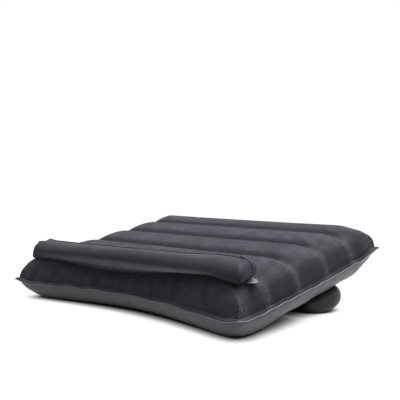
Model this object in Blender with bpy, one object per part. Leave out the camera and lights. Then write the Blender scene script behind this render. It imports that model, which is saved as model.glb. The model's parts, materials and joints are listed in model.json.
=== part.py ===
"""An inflatable desk cushion with a wrist rest along its front and a roll under its rear.

Metres, +Z up. The floor is z = 0, the user sits at -Y, and the origin is the middle of the base.
Two sheets meet in a weld seam and are held to an even thickness by ribs. The wrist rest and the
roll are chambers of their own, each welded to the cushion by a base sheet. Each chamber has an
oral valve: a collar welded to the skin, a stem that slides in it, a plug on a strap and a flap.
"""

import math

import bmesh
import bpy
from mathutils import Matrix, Vector
from mathutils.bvhtree import BVHTree

# Outline of the weld seam
WIDTH = 0.460
DEPTH = 0.340
BELLY_DEPTH = 0.030
BELLY_SHARPNESS = 1.2
SIDE_DRAW_IN = 0.004
REAR_DRAW_IN = 0.003
DRAW_IN_SHARPNESS = 6
FLANGE_WIDTH = 0.005
SEAM_FRONT_HEIGHT = 0.0245
SEAM_REAR_HEIGHT = 0.0830

# Swelling of the two sheets
TOP_CROWN = 0.040
UNDER_CROWN = 0.042
TOP_SIDE_ROUND = 0.050
TOP_FRONT_ROUND = 0.030
TOP_REAR_ROUND = 0.030
TOP_CORNER_FULLNESS = 6
UNDER_SIDE_ROUND = 0.058
UNDER_FRONT_ROUND = 0.080
UNDER_REAR_ROUND = 0.045
UNDER_CORNER_FULLNESS = 0.7
ROUNDNESS = 2.3

# Channels between the ribs
CHANNEL_COUNT = 5
TOP_GROOVE_DEPTH = 0.006
UNDER_GROOVE_DEPTH = 0.005
GROOVE_SHARPNESS = 2.4
GROOVE_END_MARGIN = 0.022
GROOVE_FADE_LENGTH = 0.024
RIB_END_MARGIN = 0.042
RIB_THICKNESS = 0.0005

# Sheet stock and the gap kept between neighbouring pieces
TOP_THICKNESS = 0.0008
UNDER_THICKNESS = 0.0005
CHAMBER_THICKNESS = 0.0005
BASE_THICKNESS = 0.0005
GAP = 0.0003
SEAM_GAP = 0.0005

# Wrist rest
WRIST_SIDE_MARGIN = 0.018
WRIST_BREADTH = 0.046
WRIST_HEIGHT = 0.034
WRIST_END_ROUND = 0.020
WRIST_SETBACK = 0.016
WRIST_BEND = 0.015
WRIST_RISE = 0.001
WRIST_WELD_END = 0.009
WRIST_WELD_SIDE = 0.0025
WRIST_SEAM_OFFSET = 0.009

# Rear roll
ROLL_SIDE_MARGIN = 0.018
ROLL_BREADTH = 0.080
ROLL_END_ROUND = 0.024
ROLL_REAR_MARGIN = 0.055
ROLL_SINK = 0.012
ROLL_FLATTENING = 0.002
ROLL_WELD_END = 0.006
ROLL_WELD_SIDE = 0.003

# Section of both chambers: a superellipse, open where it is welded to its base sheet
CHAMBER_SQUARENESS = 2.3
CHAMBER_OPEN_ANGLE = 75

# Oral valve
VALVE_FLANGE_RADIUS = 0.0092
VALVE_FLANGE_THICKNESS = 0.0007
VALVE_NECK_WALL = 0.0012
VALVE_NECK_OUT = 0.0020
VALVE_NECK_IN = 0.0034
VALVE_BORE_RADIUS = 0.0032
VALVE_STEM_WALL = 0.0012
VALVE_STOP_WIDTH = 0.0010
VALVE_STOP_THICKNESS = 0.0012
VALVE_TRAVEL = 0.008
VALVE_LUG_LENGTH = 0.0038
VALVE_LUG_THICKNESS = 0.0012
VALVE_LUG_WIDTH = 0.0036
PLUG_HEAD_RADIUS = 0.0052
PLUG_HEAD_THICKNESS = 0.0014
PLUG_PIN_LENGTH = 0.0038
PLUG_PIN_TAPER = 0.0007
PLUG_STRAP_THICKNESS = 0.0010
PLUG_STRAP_WIDTH = 0.0030
FLAP_THICKNESS = 0.0006
FLAP_TAB_WIDTH = 0.0030
VALVE_CLEARANCE = 0.0003
VALVE_PATCH_REACH = 0.045
ROUND_SEGMENTS = 20

# Places of the valves
CUSHION_VALVE_SIDE_MARGIN = 0.080
CUSHION_VALVE_SEAM_MARGIN = 0.0155
CUSHION_VALVE_TILT = 45
WRIST_VALVE_FORWARD = 0.003
WRIST_VALVE_RISE = 0.005
ROLL_VALVE_RISE = 0.001

# Mesh density
EDGE_STEPS = 5
MIDDLE_STEPS = 6
FRONT_SPLIT = (0.0, 0.06, 0.18, 0.38, 0.62, 0.82)
CHANNEL_SPLIT = (0.0, 0.15, 0.35, 0.65, 0.85)
REAR_SPLIT = (0.0, 0.18, 0.38, 0.62, 0.82, 0.94, 1.0)
CHAMBER_RINGS = 10
CHAMBER_STRAIGHT_STEPS = 12
CHAMBER_END_STEPS = 8

# Values worked out from the sizes above
HALF_WIDTH = WIDTH / 2
FRONT_Y = -DEPTH / 2
REAR_Y = DEPTH / 2
SEAM_SLOPE = (SEAM_REAR_HEIGHT - SEAM_FRONT_HEIGHT) / DEPTH
CHANNEL_PITCH = DEPTH / CHANNEL_COUNT
GROOVE_LINES = [FRONT_Y + CHANNEL_PITCH * n for n in range(1, CHANNEL_COUNT)]
WRIST_LENGTH = WIDTH - 2 * WRIST_SIDE_MARGIN
ROLL_LENGTH = WIDTH - 2 * ROLL_SIDE_MARGIN
STEM_RADIUS = VALVE_BORE_RADIUS + VALVE_STEM_WALL
NECK_BORE_RADIUS = STEM_RADIUS + VALVE_CLEARANCE
NECK_RADIUS = NECK_BORE_RADIUS + VALVE_NECK_WALL
STEM_RIM = VALVE_NECK_OUT + GAP + VALVE_LUG_THICKNESS
STEM_FOOT = -(VALVE_NECK_IN + VALVE_CLEARANCE + VALVE_TRAVEL + VALVE_STOP_THICKNESS)
STOP_RADIUS = STEM_RADIUS + VALVE_STOP_WIDTH
HINGE_RADIUS = STEM_RADIUS + VALVE_LUG_LENGTH - PLUG_STRAP_THICKNESS
HINGE_RISE = STEM_RIM + GAP + PLUG_STRAP_THICKNESS / 2
FLAP_HINGE_RADIUS = STOP_RADIUS
FLAP_TOP = STEM_FOOT - GAP


def clear_scene():
    """Remove every object, so that the scene holds only this part."""
    for item in list(bpy.data.objects):
        bpy.data.objects.remove(item, do_unlink=True)


def material(name, colour, roughness, alpha=1.0):
    """A Principled material in one colour."""
    made = bpy.data.materials.new(name)
    made.use_nodes = True
    shader = made.node_tree.nodes["Principled BSDF"]
    shader.inputs["Base Color"].default_value = (*colour, 1.0)
    shader.inputs["Roughness"].default_value = roughness
    shader.inputs["Alpha"].default_value = alpha
    made.diffuse_color = (*colour, alpha)
    return made


def seam_height(y):
    """Height of the weld seam, which climbs from the front to the rear."""
    return SEAM_FRONT_HEIGHT + SEAM_SLOPE * (y - FRONT_Y)


def belly_share(x):
    """0 at the corners to 1 in the middle, along the curve of the front edge."""
    return max(math.cos(math.pi * x / WIDTH), 0.0) ** BELLY_SHARPNESS


def front_edge(x):
    """Front of the seam, curved in to go round the user's waist."""
    return FRONT_Y + BELLY_DEPTH * belly_share(x)


def rear_edge(x):
    """Rear of the seam, drawn in a little between its corners."""
    return REAR_Y - REAR_DRAW_IN * (1 - abs(x / HALF_WIDTH) ** DRAW_IN_SHARPNESS)


def side_scale(y):
    """Share of the full width at this depth: the sides are drawn in between the corners."""
    return 1 - SIDE_DRAW_IN / HALF_WIDTH * (1 - abs(y / REAR_Y) ** DRAW_IN_SHARPNESS)


def rounding(distance, radius):
    """0 at the edge of the sheet to 1 at a radius in from it."""
    reach = min(max(distance / radius, 0.0), 1.0)
    return (1 - (1 - reach) ** ROUNDNESS) ** (1 / ROUNDNESS)


def groove_share(x, y):
    """1 in the bottom of a groove, 0 on a crest and past the grooves' ends."""
    nearest = min(abs(y - line) for line in GROOVE_LINES)
    across = max(0.0, 1 - nearest / (CHANNEL_PITCH / 2)) ** GROOVE_SHARPNESS
    inward = HALF_WIDTH - abs(x) - GROOVE_END_MARGIN
    along = min(max(inward / GROOVE_FADE_LENGTH, 0.0), 1.0)
    return across * along * along * (3 - 2 * along)


def swelling(x, y, side_round, front_round, rear_round, corner_fullness):
    """How full the cushion is here, from 0 on the flange to 1 away from the edges."""
    shares = (
        rounding(HALF_WIDTH - FLANGE_WIDTH - abs(x), side_round),
        rounding(y - front_edge(x) - FLANGE_WIDTH, front_round),
        rounding(rear_edge(x) - FLANGE_WIDTH - y, rear_round),
    )
    if min(shares) <= 0:
        return 0.0
    lost = sum(share**-corner_fullness - 1 for share in shares)
    return (1 + lost) ** (-1 / corner_fullness)


def top_height(x, y):
    """Outer face of the top sheet."""
    rounds = (TOP_SIDE_ROUND, TOP_FRONT_ROUND, TOP_REAR_ROUND)
    full = swelling(x, y, *rounds, TOP_CORNER_FULLNESS)
    lift = SEAM_GAP / 2 + TOP_THICKNESS
    return seam_height(y) + lift + full * (TOP_CROWN - TOP_GROOVE_DEPTH * groove_share(x, y))


def under_height(x, y):
    """Outer face of the bottom sheet, pressed flat where it reaches the floor."""
    rounds = (UNDER_SIDE_ROUND, UNDER_FRONT_ROUND, UNDER_REAR_ROUND)
    full = swelling(x, y, *rounds, UNDER_CORNER_FULLNESS)
    lift = SEAM_GAP / 2 + UNDER_THICKNESS
    drop = full * (UNDER_CROWN - UNDER_GROOVE_DEPTH * groove_share(x, y))
    return max(seam_height(y) - lift - drop, 0.0)


def columns():
    """Places of the grid's columns from left to right, closest together where the sides curve."""
    right = [HALF_WIDTH, HALF_WIDTH - FLANGE_WIDTH]
    for step in range(1, EDGE_STEPS + 1):
        turn = math.pi / 2 * step / EDGE_STEPS
        right.append(HALF_WIDTH - FLANGE_WIDTH - UNDER_SIDE_ROUND * (1 - math.cos(turn)))
    inner = right[-1]
    middle = [inner * (2 * step / MIDDLE_STEPS - 1) for step in range(1, MIDDLE_STEPS)]
    return [-x for x in right] + middle + right[::-1]


def rows(x):
    """Places of the grid's rows at this column, with one row along each groove."""
    front = front_edge(x) + FLANGE_WIDTH
    rear = rear_edge(x) - FLANGE_WIDTH
    found = [front_edge(x)]
    found += [front + (GROOVE_LINES[0] - front) * share for share in FRONT_SPLIT]
    for line in GROOVE_LINES[:-1]:
        found += [line + CHANNEL_PITCH * share for share in CHANNEL_SPLIT]
    found += [GROOVE_LINES[-1] + (rear - GROOVE_LINES[-1]) * share for share in REAR_SPLIT]
    return found + [rear_edge(x)]


def groove_rows():
    """Index of the row that runs along each groove."""
    first = 1 + len(FRONT_SPLIT)
    return [first + len(CHANNEL_SPLIT) * n for n in range(len(GROOVE_LINES))]


class Surface:
    """An open surface, and the way each of its points moves when the surface is offset evenly."""

    def __init__(self, points, faces):
        self.points = [Vector(point) for point in points]
        self.faces = faces
        mesh = bmesh.new()
        made = [mesh.verts.new(point) for point in self.points]
        for face in faces:
            mesh.faces.new([made[index] for index in face])
        mesh.normal_update()
        self.steps = [vert.normal * vert.calc_shell_factor() for vert in made]
        mesh.free()

    def offset(self, distance):
        """The points moved out by a distance, or in by a negative one."""
        return [point + step * distance for point, step in zip(self.points, self.steps)]

    def straighten(self, index):
        """Make the offset of a point exact up and down, where two sheets lie on each other."""
        self.steps[index] = self.steps[index] / abs(self.steps[index].z)

    def near(self, centre, radius):
        """The part of the surface within a radius of a point, on the same offset directions."""
        kept = [
            face
            for face in self.faces
            if any((self.points[index] - centre).length < radius for index in face)
        ]
        used = sorted({index for face in kept for index in face})
        number = {index: n for n, index in enumerate(used)}
        part = Surface.__new__(Surface)
        part.points = [self.points[index] for index in used]
        part.steps = [self.steps[index] for index in used]
        part.faces = [[number[index] for index in face] for face in kept]
        return part

    def rim(self):
        """The open edges, each in the direction of the face beside it."""
        edges = {}
        for face in self.faces:
            for start, end in zip(face, face[1:] + face[:1]):
                edges[(start, end)] = (end, start)
        return [edge for edge, other in edges.items() if other not in edges]

    def hit(self, start, direction):
        """The point where a line first meets the surface."""
        tree = BVHTree.FromPolygons(self.points, self.faces)
        return tree.ray_cast(start, direction)[0]


def cushion_surface(height, facing_up):
    """One face of the cushion as a grid that ends at the seam."""
    points = []
    across = columns()
    for x in across:
        for y in rows(x):
            points.append((x * side_scale(y), y, height(x, y)))
    deep = len(points) // len(across)
    faces = []
    for i in range(len(across) - 1):
        for j in range(deep - 1):
            near_left = i * deep + j
            near_right, far_left, far_right = near_left + deep, near_left + 1, near_left + deep + 1
            if 2 * i < len(across) - 1:
                halves = ([near_left, near_right, far_right], [near_left, far_right, far_left])
            else:
                halves = ([near_left, near_right, far_left], [near_right, far_right, far_left])
            faces += [half if facing_up else half[::-1] for half in halves]
    surface = Surface(points, faces)
    for index in range(len(points)):
        i, j = divmod(index, deep)
        if min(i, len(across) - 1 - i, j, deep - 1 - j) < 2:
            surface.straighten(index)
    return surface


def chamber_surface(length, breadth, height, end_round, centre_y, centre_z, bend, upward, whole):
    """The skin of a bolster: it runs along x with rounded ends, on the cushion's slope.

    It bends with the front edge, and bulges up or down from its base. If whole it is closed
    all round, and otherwise it stops short of its spine on the base side.
    """
    spine = length / 2 - end_round
    around = []
    for step in range(CHAMBER_STRAIGHT_STEPS + 1):
        around.append((spine * (2 * step / CHAMBER_STRAIGHT_STEPS - 1), 0.0, -1.0))
    for step in range(1, CHAMBER_END_STEPS):
        turn = math.pi * step / CHAMBER_END_STEPS
        around.append((spine, math.sin(turn), -math.cos(turn)))
    straight = around[: CHAMBER_STRAIGHT_STEPS + 1]
    around += [(x, 0.0, 1.0) for x, _, _ in reversed(straight)]
    around += [(-spine, -aside, -ahead) for x, aside, ahead in around if aside > 0]

    def place(turn, at):
        x, aside, ahead = at
        wide = abs(math.cos(turn)) ** (2 / CHAMBER_SQUARENESS)
        high = math.copysign(abs(math.sin(turn)) ** (2 / CHAMBER_SQUARENESS), math.sin(turn))
        forward = ahead * wide * breadth / 2
        level = centre_z + SEAM_SLOPE * forward + upward * high * height / 2
        y = centre_y + forward + bend * belly_share(x)
        return (x + aside * wide * end_round, y, max(level, 0.0))

    lowest = -90 if whole else -CHAMBER_OPEN_ANGLE
    turns = [
        math.radians(lowest + (90 - lowest) * ring / CHAMBER_RINGS)
        for ring in range(CHAMBER_RINGS)
    ]
    if whole:
        turns = turns[1:]
    points = [place(turn, at) for turn in turns for at in around]
    count = len(around)
    faces = []
    for ring in range(len(turns) - 1):
        for n in range(count):
            following = (n + 1) % count
            low, high = ring * count, (ring + 1) * count
            faces.append([low + n, low + following, high + following, high + n])

    def close(ring, turn, outward):
        first = len(points)
        points.extend(place(turn, at) for at in straight)
        for n in range(count):
            following = (n + 1) % count
            ends = [first + spine_index(n), first + spine_index(following)]
            face = [ring * count + n, ring * count + following, ends[1], ends[0]]
            if ends[0] == ends[1]:
                face = face[:3]
            faces.append(face if outward else face[::-1])

    def spine_index(n):
        """The spine point that faces this point of the outline."""
        if n <= CHAMBER_STRAIGHT_STEPS:
            return n
        passed = n - CHAMBER_STRAIGHT_STEPS
        if passed < CHAMBER_END_STEPS:
            return CHAMBER_STRAIGHT_STEPS
        return max(CHAMBER_STRAIGHT_STEPS - (passed - CHAMBER_END_STEPS), 0)

    close(len(turns) - 1, math.pi / 2, True)
    if whole:
        close(0, -math.pi / 2, False)
    if upward < 0:
        faces = [face[::-1] for face in faces]
    return Surface(points, faces)


def add_object(name, points, faces, finish=None):
    """A mesh object, or a hidden tool where it has no finish."""
    mesh = bpy.data.meshes.new(name)
    mesh.from_pydata([tuple(point) for point in points], [], faces)
    made = bpy.data.objects.new(name, mesh)
    bpy.context.scene.collection.objects.link(made)
    if finish:
        mesh.materials.append(finish)
        mesh.shade_smooth()
        mesh.set_sharp_from_angle(angle=math.radians(40))
    else:
        made.hide_render = True
        made.display_type = "WIRE"
    return made


def between(name, surface, low, high, finish=None):
    """The closed solid between two offsets of an open surface, each a distance or its points."""
    inner = surface.offset(low) if isinstance(low, float) else low
    outer = surface.offset(high) if isinstance(high, float) else high
    count = len(outer)
    faces = [list(face) for face in surface.faces]
    faces += [[index + count for index in reversed(face)] for face in surface.faces]
    faces += [[end, start, start + count, end + count] for start, end in surface.rim()]
    return add_object(name, outer + inner, faces, finish)


def block(name, surface, high, level):
    """The solid from an offset of the surface to a flat plane behind it."""
    flat = [Vector((point.x, point.y, level)) for point in surface.points]
    return between(name, surface, flat, high)


def combine(target, tool, operation, solver="EXACT"):
    """Cut, join or intersect an object with a tool."""
    step = target.modifiers.new(f"{operation.lower()} {tool.name}", "BOOLEAN")
    step.operation = operation
    step.solver = solver
    step.object = tool


def box(name, low, high, frame):
    """A hidden box between two corners, in a frame."""
    low, high = Vector(low), Vector(high)
    mesh = bmesh.new()
    bmesh.ops.create_cube(mesh, size=1)
    sides = Matrix.Diagonal((*(high - low), 1))
    mesh.transform(frame @ Matrix.Translation((low + high) / 2) @ sides)
    return from_bmesh(name, mesh)


def bent_block(name, near, far, low, high):
    """A hidden block past both ends of the wrist rest, whose front and rear bend as that does."""
    steps = 2 * CHAMBER_STRAIGHT_STEPS
    end = WRIST_LENGTH / 2 + WRIST_END_ROUND
    stations = [end * (2 * step / steps - 1) for step in range(steps + 1)]
    points = []
    for y in (near, far):
        for z in (low, high):
            points += [Vector((x, y + WRIST_BEND * belly_share(x), z)) for x in stations]
    return add_object(name, points, rib_faces(len(stations)))


def rod(name, radius, low, high, frame):
    """A hidden round rod along a frame's z axis."""
    mesh = bmesh.new()
    bmesh.ops.create_cone(
        mesh,
        cap_ends=True,
        segments=ROUND_SEGMENTS,
        radius1=radius,
        radius2=radius,
        depth=high - low,
    )
    mesh.transform(frame @ Matrix.Translation((0, 0, (low + high) / 2)))
    return from_bmesh(name, mesh)


def turned(name, profile, frame, finish):
    """A turned piece from a closed profile of radius and height, run clockwise from its axis side."""
    mesh = bmesh.new()
    verts = [mesh.verts.new((radius, 0, height)) for radius, height in profile]
    edges = [mesh.edges.new(pair) for pair in zip(verts, verts[1:])]
    if profile[0][0] > 0:
        edges.append(mesh.edges.new((verts[-1], verts[0])))
    bmesh.ops.spin(
        mesh,
        geom=verts + edges,
        axis=(0, 0, 1),
        cent=(0, 0, 0),
        angle=2 * math.pi,
        steps=ROUND_SEGMENTS,
    )
    bmesh.ops.remove_doubles(mesh, verts=mesh.verts, dist=1e-6)
    bmesh.ops.recalc_face_normals(mesh, faces=mesh.faces)
    mesh.transform(frame)
    return from_bmesh(name, mesh, finish)


def from_bmesh(name, mesh, finish=None):
    """An object from a bmesh, which is freed."""
    mesh.normal_update()
    points = [vert.co.copy() for vert in mesh.verts]
    faces = [[vert.index for vert in face.verts] for face in mesh.faces]
    mesh.free()
    return add_object(name, points, faces, finish)


def set_pivot(target, pivot):
    """Move an object's origin to its joint without moving its shape."""
    target.data.transform(Matrix.Translation(-pivot))
    target.location = pivot


def build_ribs(top, under, finish):
    """Upright webs along the grooves, each a gap short of the two sheets."""
    ceiling = top.offset(-TOP_THICKNESS - GAP)
    floor = under.offset(-UNDER_THICKNESS - GAP)
    deep = len(rows(0.0))
    end = HALF_WIDTH - RIB_END_MARGIN
    for number, row in enumerate(groove_rows(), start=1):
        upper = [ceiling[i * deep + row] for i in range(len(columns()))]
        lower = [floor[i * deep + row] for i in range(len(columns()))]
        stations = [-end] + [point.x for point in upper if abs(point.x) < end] + [end]
        points = []
        for side in (-1, 1):
            y = GROOVE_LINES[number - 1] + side * RIB_THICKNESS / 2
            points += [Vector((x, y, height_at(lower, x))) for x in stations]
            points += [Vector((x, y, height_at(upper, x))) for x in stations]
        add_object(f"cushion_rib_{number}", points, rib_faces(len(stations)), finish)


def height_at(line, x):
    """Height of a run of points at a place along x."""
    for start, end in zip(line, line[1:]):
        if start.x <= x <= end.x:
            return start.z + (end.z - start.z) * (x - start.x) / (end.x - start.x)
    raise ValueError("the rib is longer than its groove")


def rib_faces(count):
    """Faces of a plate whose points run low front, high front, low rear, high rear."""
    faces = []
    for n in range(count - 1):
        low_front, high_front = n, n + count
        low_rear, high_rear = n + 2 * count, n + 3 * count
        faces.append([low_front, low_front + 1, high_front + 1, high_front])
        faces.append([high_rear, high_rear + 1, low_rear + 1, low_rear])
        faces.append([high_front, high_front + 1, high_rear + 1, high_rear])
        faces.append([low_rear, low_rear + 1, low_front + 1, low_front])
    last = count - 1
    faces.append([0, count, 3 * count, 2 * count])
    faces.append([last, last + 2 * count, last + 3 * count, last + count])
    return faces


def valve_frame(centre, outward):
    """A frame with z out of the skin and x towards the upper side, where the hinges are."""
    z_axis = Vector(outward).normalized()
    y_axis = z_axis.cross(Vector((0, 0, 1))).normalized()
    x_axis = y_axis.cross(z_axis)
    return Matrix.Translation(centre) @ Matrix((x_axis, y_axis, z_axis)).transposed().to_4x4()


def build_valve(prefix, skin, skin_surface, frame, finish):
    """The valve of one chamber, and the hole for it in the skin."""
    centre = frame.translation
    reach = 2 * VALVE_FLANGE_RADIUS
    hole = rod(f"{prefix}_hole", NECK_RADIUS + GAP, -reach, reach, frame)
    combine(skin, hole, "DIFFERENCE")
    build_collar(prefix, skin_surface.near(centre, VALVE_PATCH_REACH), frame, finish)
    build_stem(prefix, frame, finish)
    build_plug(prefix, frame, finish)
    build_flap(prefix, frame, finish)


def build_collar(prefix, patch, frame, finish):
    """The flange that follows the skin, with the neck that guides the stem."""
    reach = 2 * VALVE_FLANGE_RADIUS
    collar = between(f"{prefix}_collar", patch, GAP, GAP + VALVE_FLANGE_THICKNESS, finish)
    disc = rod(f"{prefix}_disc", VALVE_FLANGE_RADIUS, -reach, reach, frame)
    neck = rod(f"{prefix}_neck", NECK_RADIUS, -VALVE_NECK_IN, VALVE_NECK_OUT, frame)
    bore = rod(f"{prefix}_bore", NECK_BORE_RADIUS, -reach, reach, frame)
    combine(collar, disc, "INTERSECT")
    combine(collar, neck, "UNION")
    combine(collar, bore, "DIFFERENCE")


def build_stem(prefix, frame, finish):
    """The tube that is pulled out to blow into, with its stop ring and its strap lug."""
    stop = STEM_FOOT + VALVE_STOP_THICKNESS
    profile = [
        (VALVE_BORE_RADIUS, STEM_FOOT),
        (VALVE_BORE_RADIUS, STEM_RIM),
        (STEM_RADIUS, STEM_RIM),
        (STEM_RADIUS, stop),
        (STOP_RADIUS, stop),
        (STOP_RADIUS, STEM_FOOT),
    ]
    stem = turned(f"{prefix}_stem", profile, frame, finish)
    lug = box(
        f"{prefix}_lug",
        (STEM_RADIUS - VALVE_STEM_WALL / 2, -VALVE_LUG_WIDTH / 2, STEM_RIM - VALVE_LUG_THICKNESS),
        (STEM_RADIUS + VALVE_LUG_LENGTH, VALVE_LUG_WIDTH / 2, STEM_RIM),
        frame,
    )
    combine(stem, lug, "UNION")
    set_pivot(stem, frame.translation)


def build_plug(prefix, frame, finish):
    """The tapered plug that closes the stem, with the strap that it swings on."""
    base = STEM_RIM + GAP
    pin = VALVE_BORE_RADIUS - VALVE_CLEARANCE
    profile = [
        (0.0, base - PLUG_PIN_LENGTH),
        (pin - PLUG_PIN_TAPER, base - PLUG_PIN_LENGTH),
        (pin, base),
        (PLUG_HEAD_RADIUS, base),
        (PLUG_HEAD_RADIUS, base + PLUG_HEAD_THICKNESS),
        (0.0, base + PLUG_HEAD_THICKNESS),
    ]
    plug = turned(f"{prefix}_plug", profile, frame, finish)
    strap = box(
        f"{prefix}_strap",
        (PLUG_HEAD_RADIUS / 2, -PLUG_STRAP_WIDTH / 2, base),
        (HINGE_RADIUS, PLUG_STRAP_WIDTH / 2, base + PLUG_STRAP_THICKNESS),
        frame,
    )
    combine(plug, strap, "UNION")
    set_pivot(plug, frame @ Vector((HINGE_RADIUS, 0, HINGE_RISE)))


def build_flap(prefix, frame, finish):
    """The check flap that lets air in through the stem and not out."""
    radius = (VALVE_BORE_RADIUS + STOP_RADIUS) / 2
    profile = [
        (0.0, FLAP_TOP - FLAP_THICKNESS),
        (radius, FLAP_TOP - FLAP_THICKNESS),
        (radius, FLAP_TOP),
        (0.0, FLAP_TOP),
    ]
    flap = turned(f"{prefix}_flap", profile, frame, finish)
    tab = box(
        f"{prefix}_tab",
        (radius / 2, -FLAP_TAB_WIDTH / 2, FLAP_TOP - FLAP_THICKNESS),
        (FLAP_HINGE_RADIUS, FLAP_TAB_WIDTH / 2, FLAP_TOP),
        frame,
    )
    combine(flap, tab, "UNION")
    set_pivot(flap, frame @ Vector((FLAP_HINGE_RADIUS, 0, FLAP_TOP - FLAP_THICKNESS / 2)))


def build_cushion(finishes):
    """The two sheets, the ribs between them and the cushion's valve."""
    top = cushion_surface(top_height, True)
    under = cushion_surface(under_height, False)
    between("cushion_top_sheet", top, -TOP_THICKNESS, 0.0, finishes["flock"])
    under_sheet = between("cushion_bottom_sheet", under, -UNDER_THICKNESS, 0.0, finishes["under"])
    build_ribs(top, under, finishes["under"])
    tilt = math.radians(CUSHION_VALVE_TILT)
    outward = Vector((0, math.cos(tilt), -math.sin(tilt)))
    x = CUSHION_VALVE_SIDE_MARGIN - HALF_WIDTH
    y = rear_edge(x) - CUSHION_VALVE_SEAM_MARGIN
    target = Vector((x, y, under_height(x, y)))
    centre = under.hit(target + outward * UNDER_CROWN, -outward)
    frame = valve_frame(centre, outward)
    build_valve("cushion_valve", under_sheet, under, frame, finishes["valve"])
    return top, under


def build_wrist_rest(top, finishes):
    """The padded bar along the front: a base sheet, a front and a rear sheet, and a valve."""
    centre_y = FRONT_Y + WRIST_SETBACK + WRIST_BREADTH / 2
    centre_z = seam_height(centre_y + WRIST_BEND) + TOP_CROWN + WRIST_RISE
    place = (centre_y, centre_z, WRIST_BEND, 1, False)
    skin = chamber_surface(WRIST_LENGTH, WRIST_BREADTH, WRIST_HEIGHT, WRIST_END_ROUND, *place)
    grown = chamber_surface(
        WRIST_LENGTH + 2 * WRIST_WELD_END,
        WRIST_BREADTH + 2 * WRIST_WELD_SIDE,
        WRIST_HEIGHT + 2 * WRIST_WELD_SIDE,
        WRIST_END_ROUND + WRIST_WELD_END,
        centre_y,
        centre_z,
        WRIST_BEND,
        1,
        True,
    )
    base = between("wrist_rest_base_sheet", top, GAP, GAP + BASE_THICKNESS, finishes["weld"])
    outline = add_object("wrist_rest_grown", grown.points, grown.faces)
    combine(base, outline, "INTERSECT", solver="MANIFOLD")
    below = block("wrist_rest_footing", top, 2 * GAP + BASE_THICKNESS, -WRIST_HEIGHT)
    seam_y = centre_y + WRIST_SEAM_OFFSET
    limits = {
        "front": (seam_y - GAP / 2, centre_y + WRIST_BREADTH),
        "rear": (centre_y - WRIST_BREADTH, seam_y + GAP / 2),
    }
    sheets = {}
    for side, (near, far) in limits.items():
        name = f"wrist_rest_{side}_sheet"
        sheet = between(name, skin, -CHAMBER_THICKNESS, 0.0, finishes["wrist"])
        limit = bent_block(
            f"wrist_rest_{side}_limit", near, far, 0.0, centre_z + WRIST_HEIGHT
        )
        combine(sheet, below, "DIFFERENCE")
        combine(sheet, limit, "DIFFERENCE")
        sheets[side] = sheet
    y = centre_y - WRIST_VALVE_FORWARD
    start = Vector((-WIDTH, y, centre_z + WRIST_VALVE_RISE))
    frame = valve_frame(skin.hit(start, Vector((1, 0, 0))), (-1, 0, 0))
    build_valve("wrist_valve", sheets["front"], skin, frame, finishes["valve"])


def build_roll(under, finishes):
    """The roll that lifts the rear: a base sheet, a skin and a valve."""
    centre_y = REAR_Y - ROLL_REAR_MARGIN - ROLL_BREADTH / 2
    height = under_height(0.0, centre_y) + ROLL_SINK + ROLL_FLATTENING
    centre_z = height / 2 - ROLL_FLATTENING
    place = (centre_y, centre_z, 0.0, -1, False)
    skin = chamber_surface(ROLL_LENGTH, ROLL_BREADTH, height, ROLL_END_ROUND, *place)
    grown = chamber_surface(
        ROLL_LENGTH + 2 * ROLL_WELD_END,
        ROLL_BREADTH + 2 * ROLL_WELD_SIDE,
        height + 2 * ROLL_WELD_SIDE,
        ROLL_END_ROUND + ROLL_WELD_END,
        centre_y,
        centre_z,
        0.0,
        -1,
        True,
    )
    base = between("roll_base_sheet", under, GAP, GAP + BASE_THICKNESS, finishes["roll"])
    outline = add_object("roll_grown", grown.points, grown.faces)
    combine(base, outline, "INTERSECT", solver="MANIFOLD")
    above = block("roll_footing", under, 2 * GAP + BASE_THICKNESS, SEAM_REAR_HEIGHT + TOP_CROWN)
    sheet = between("roll_skin", skin, -CHAMBER_THICKNESS, 0.0, finishes["roll"])
    combine(sheet, above, "DIFFERENCE")
    start = Vector((-WIDTH, centre_y, centre_z + ROLL_VALVE_RISE))
    frame = valve_frame(skin.hit(start, Vector((1, 0, 0))), (-1, 0, 0))
    build_valve("roll_valve", sheet, skin, frame, finishes["valve"])


def build():
    """Build the whole part."""
    clear_scene()
    finishes = {
        "flock": material("flocked_sheet", (0.045, 0.044, 0.052), 0.95),
        "under": material("grey_sheet", (0.13, 0.135, 0.15), 0.45),
        "wrist": material("wrist_rest_sheet", (0.05, 0.051, 0.056), 0.42),
        "weld": material("clear_weld_sheet", (0.32, 0.33, 0.35), 0.25, 0.6),
        "roll": material("roll_sheet", (0.02, 0.022, 0.025), 0.5),
        "valve": material("valve_moulding", (0.11, 0.115, 0.125), 0.4),
    }
    top, under = build_cushion(finishes)
    build_wrist_rest(top, finishes)
    build_roll(under, finishes)


build()
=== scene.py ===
"""The looks of the inflatable desk cushion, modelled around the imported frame.

Metres, +Z up. The floor is z = 0 and the user sits at -Y. The sheets and the valves' pieces
replace their CAD solids with finer ones of the same form. The ribs keep theirs and get a finish.
"""

import json
import logging
import math
from dataclasses import dataclass, field
from enum import Enum

import bmesh
import bpy
import numpy as np
from bpy.types import Material, Node, NodeSocket, NodeTree, Object
from mathutils import Matrix, Vector
from mathutils.bvhtree import BVHTree


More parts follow.
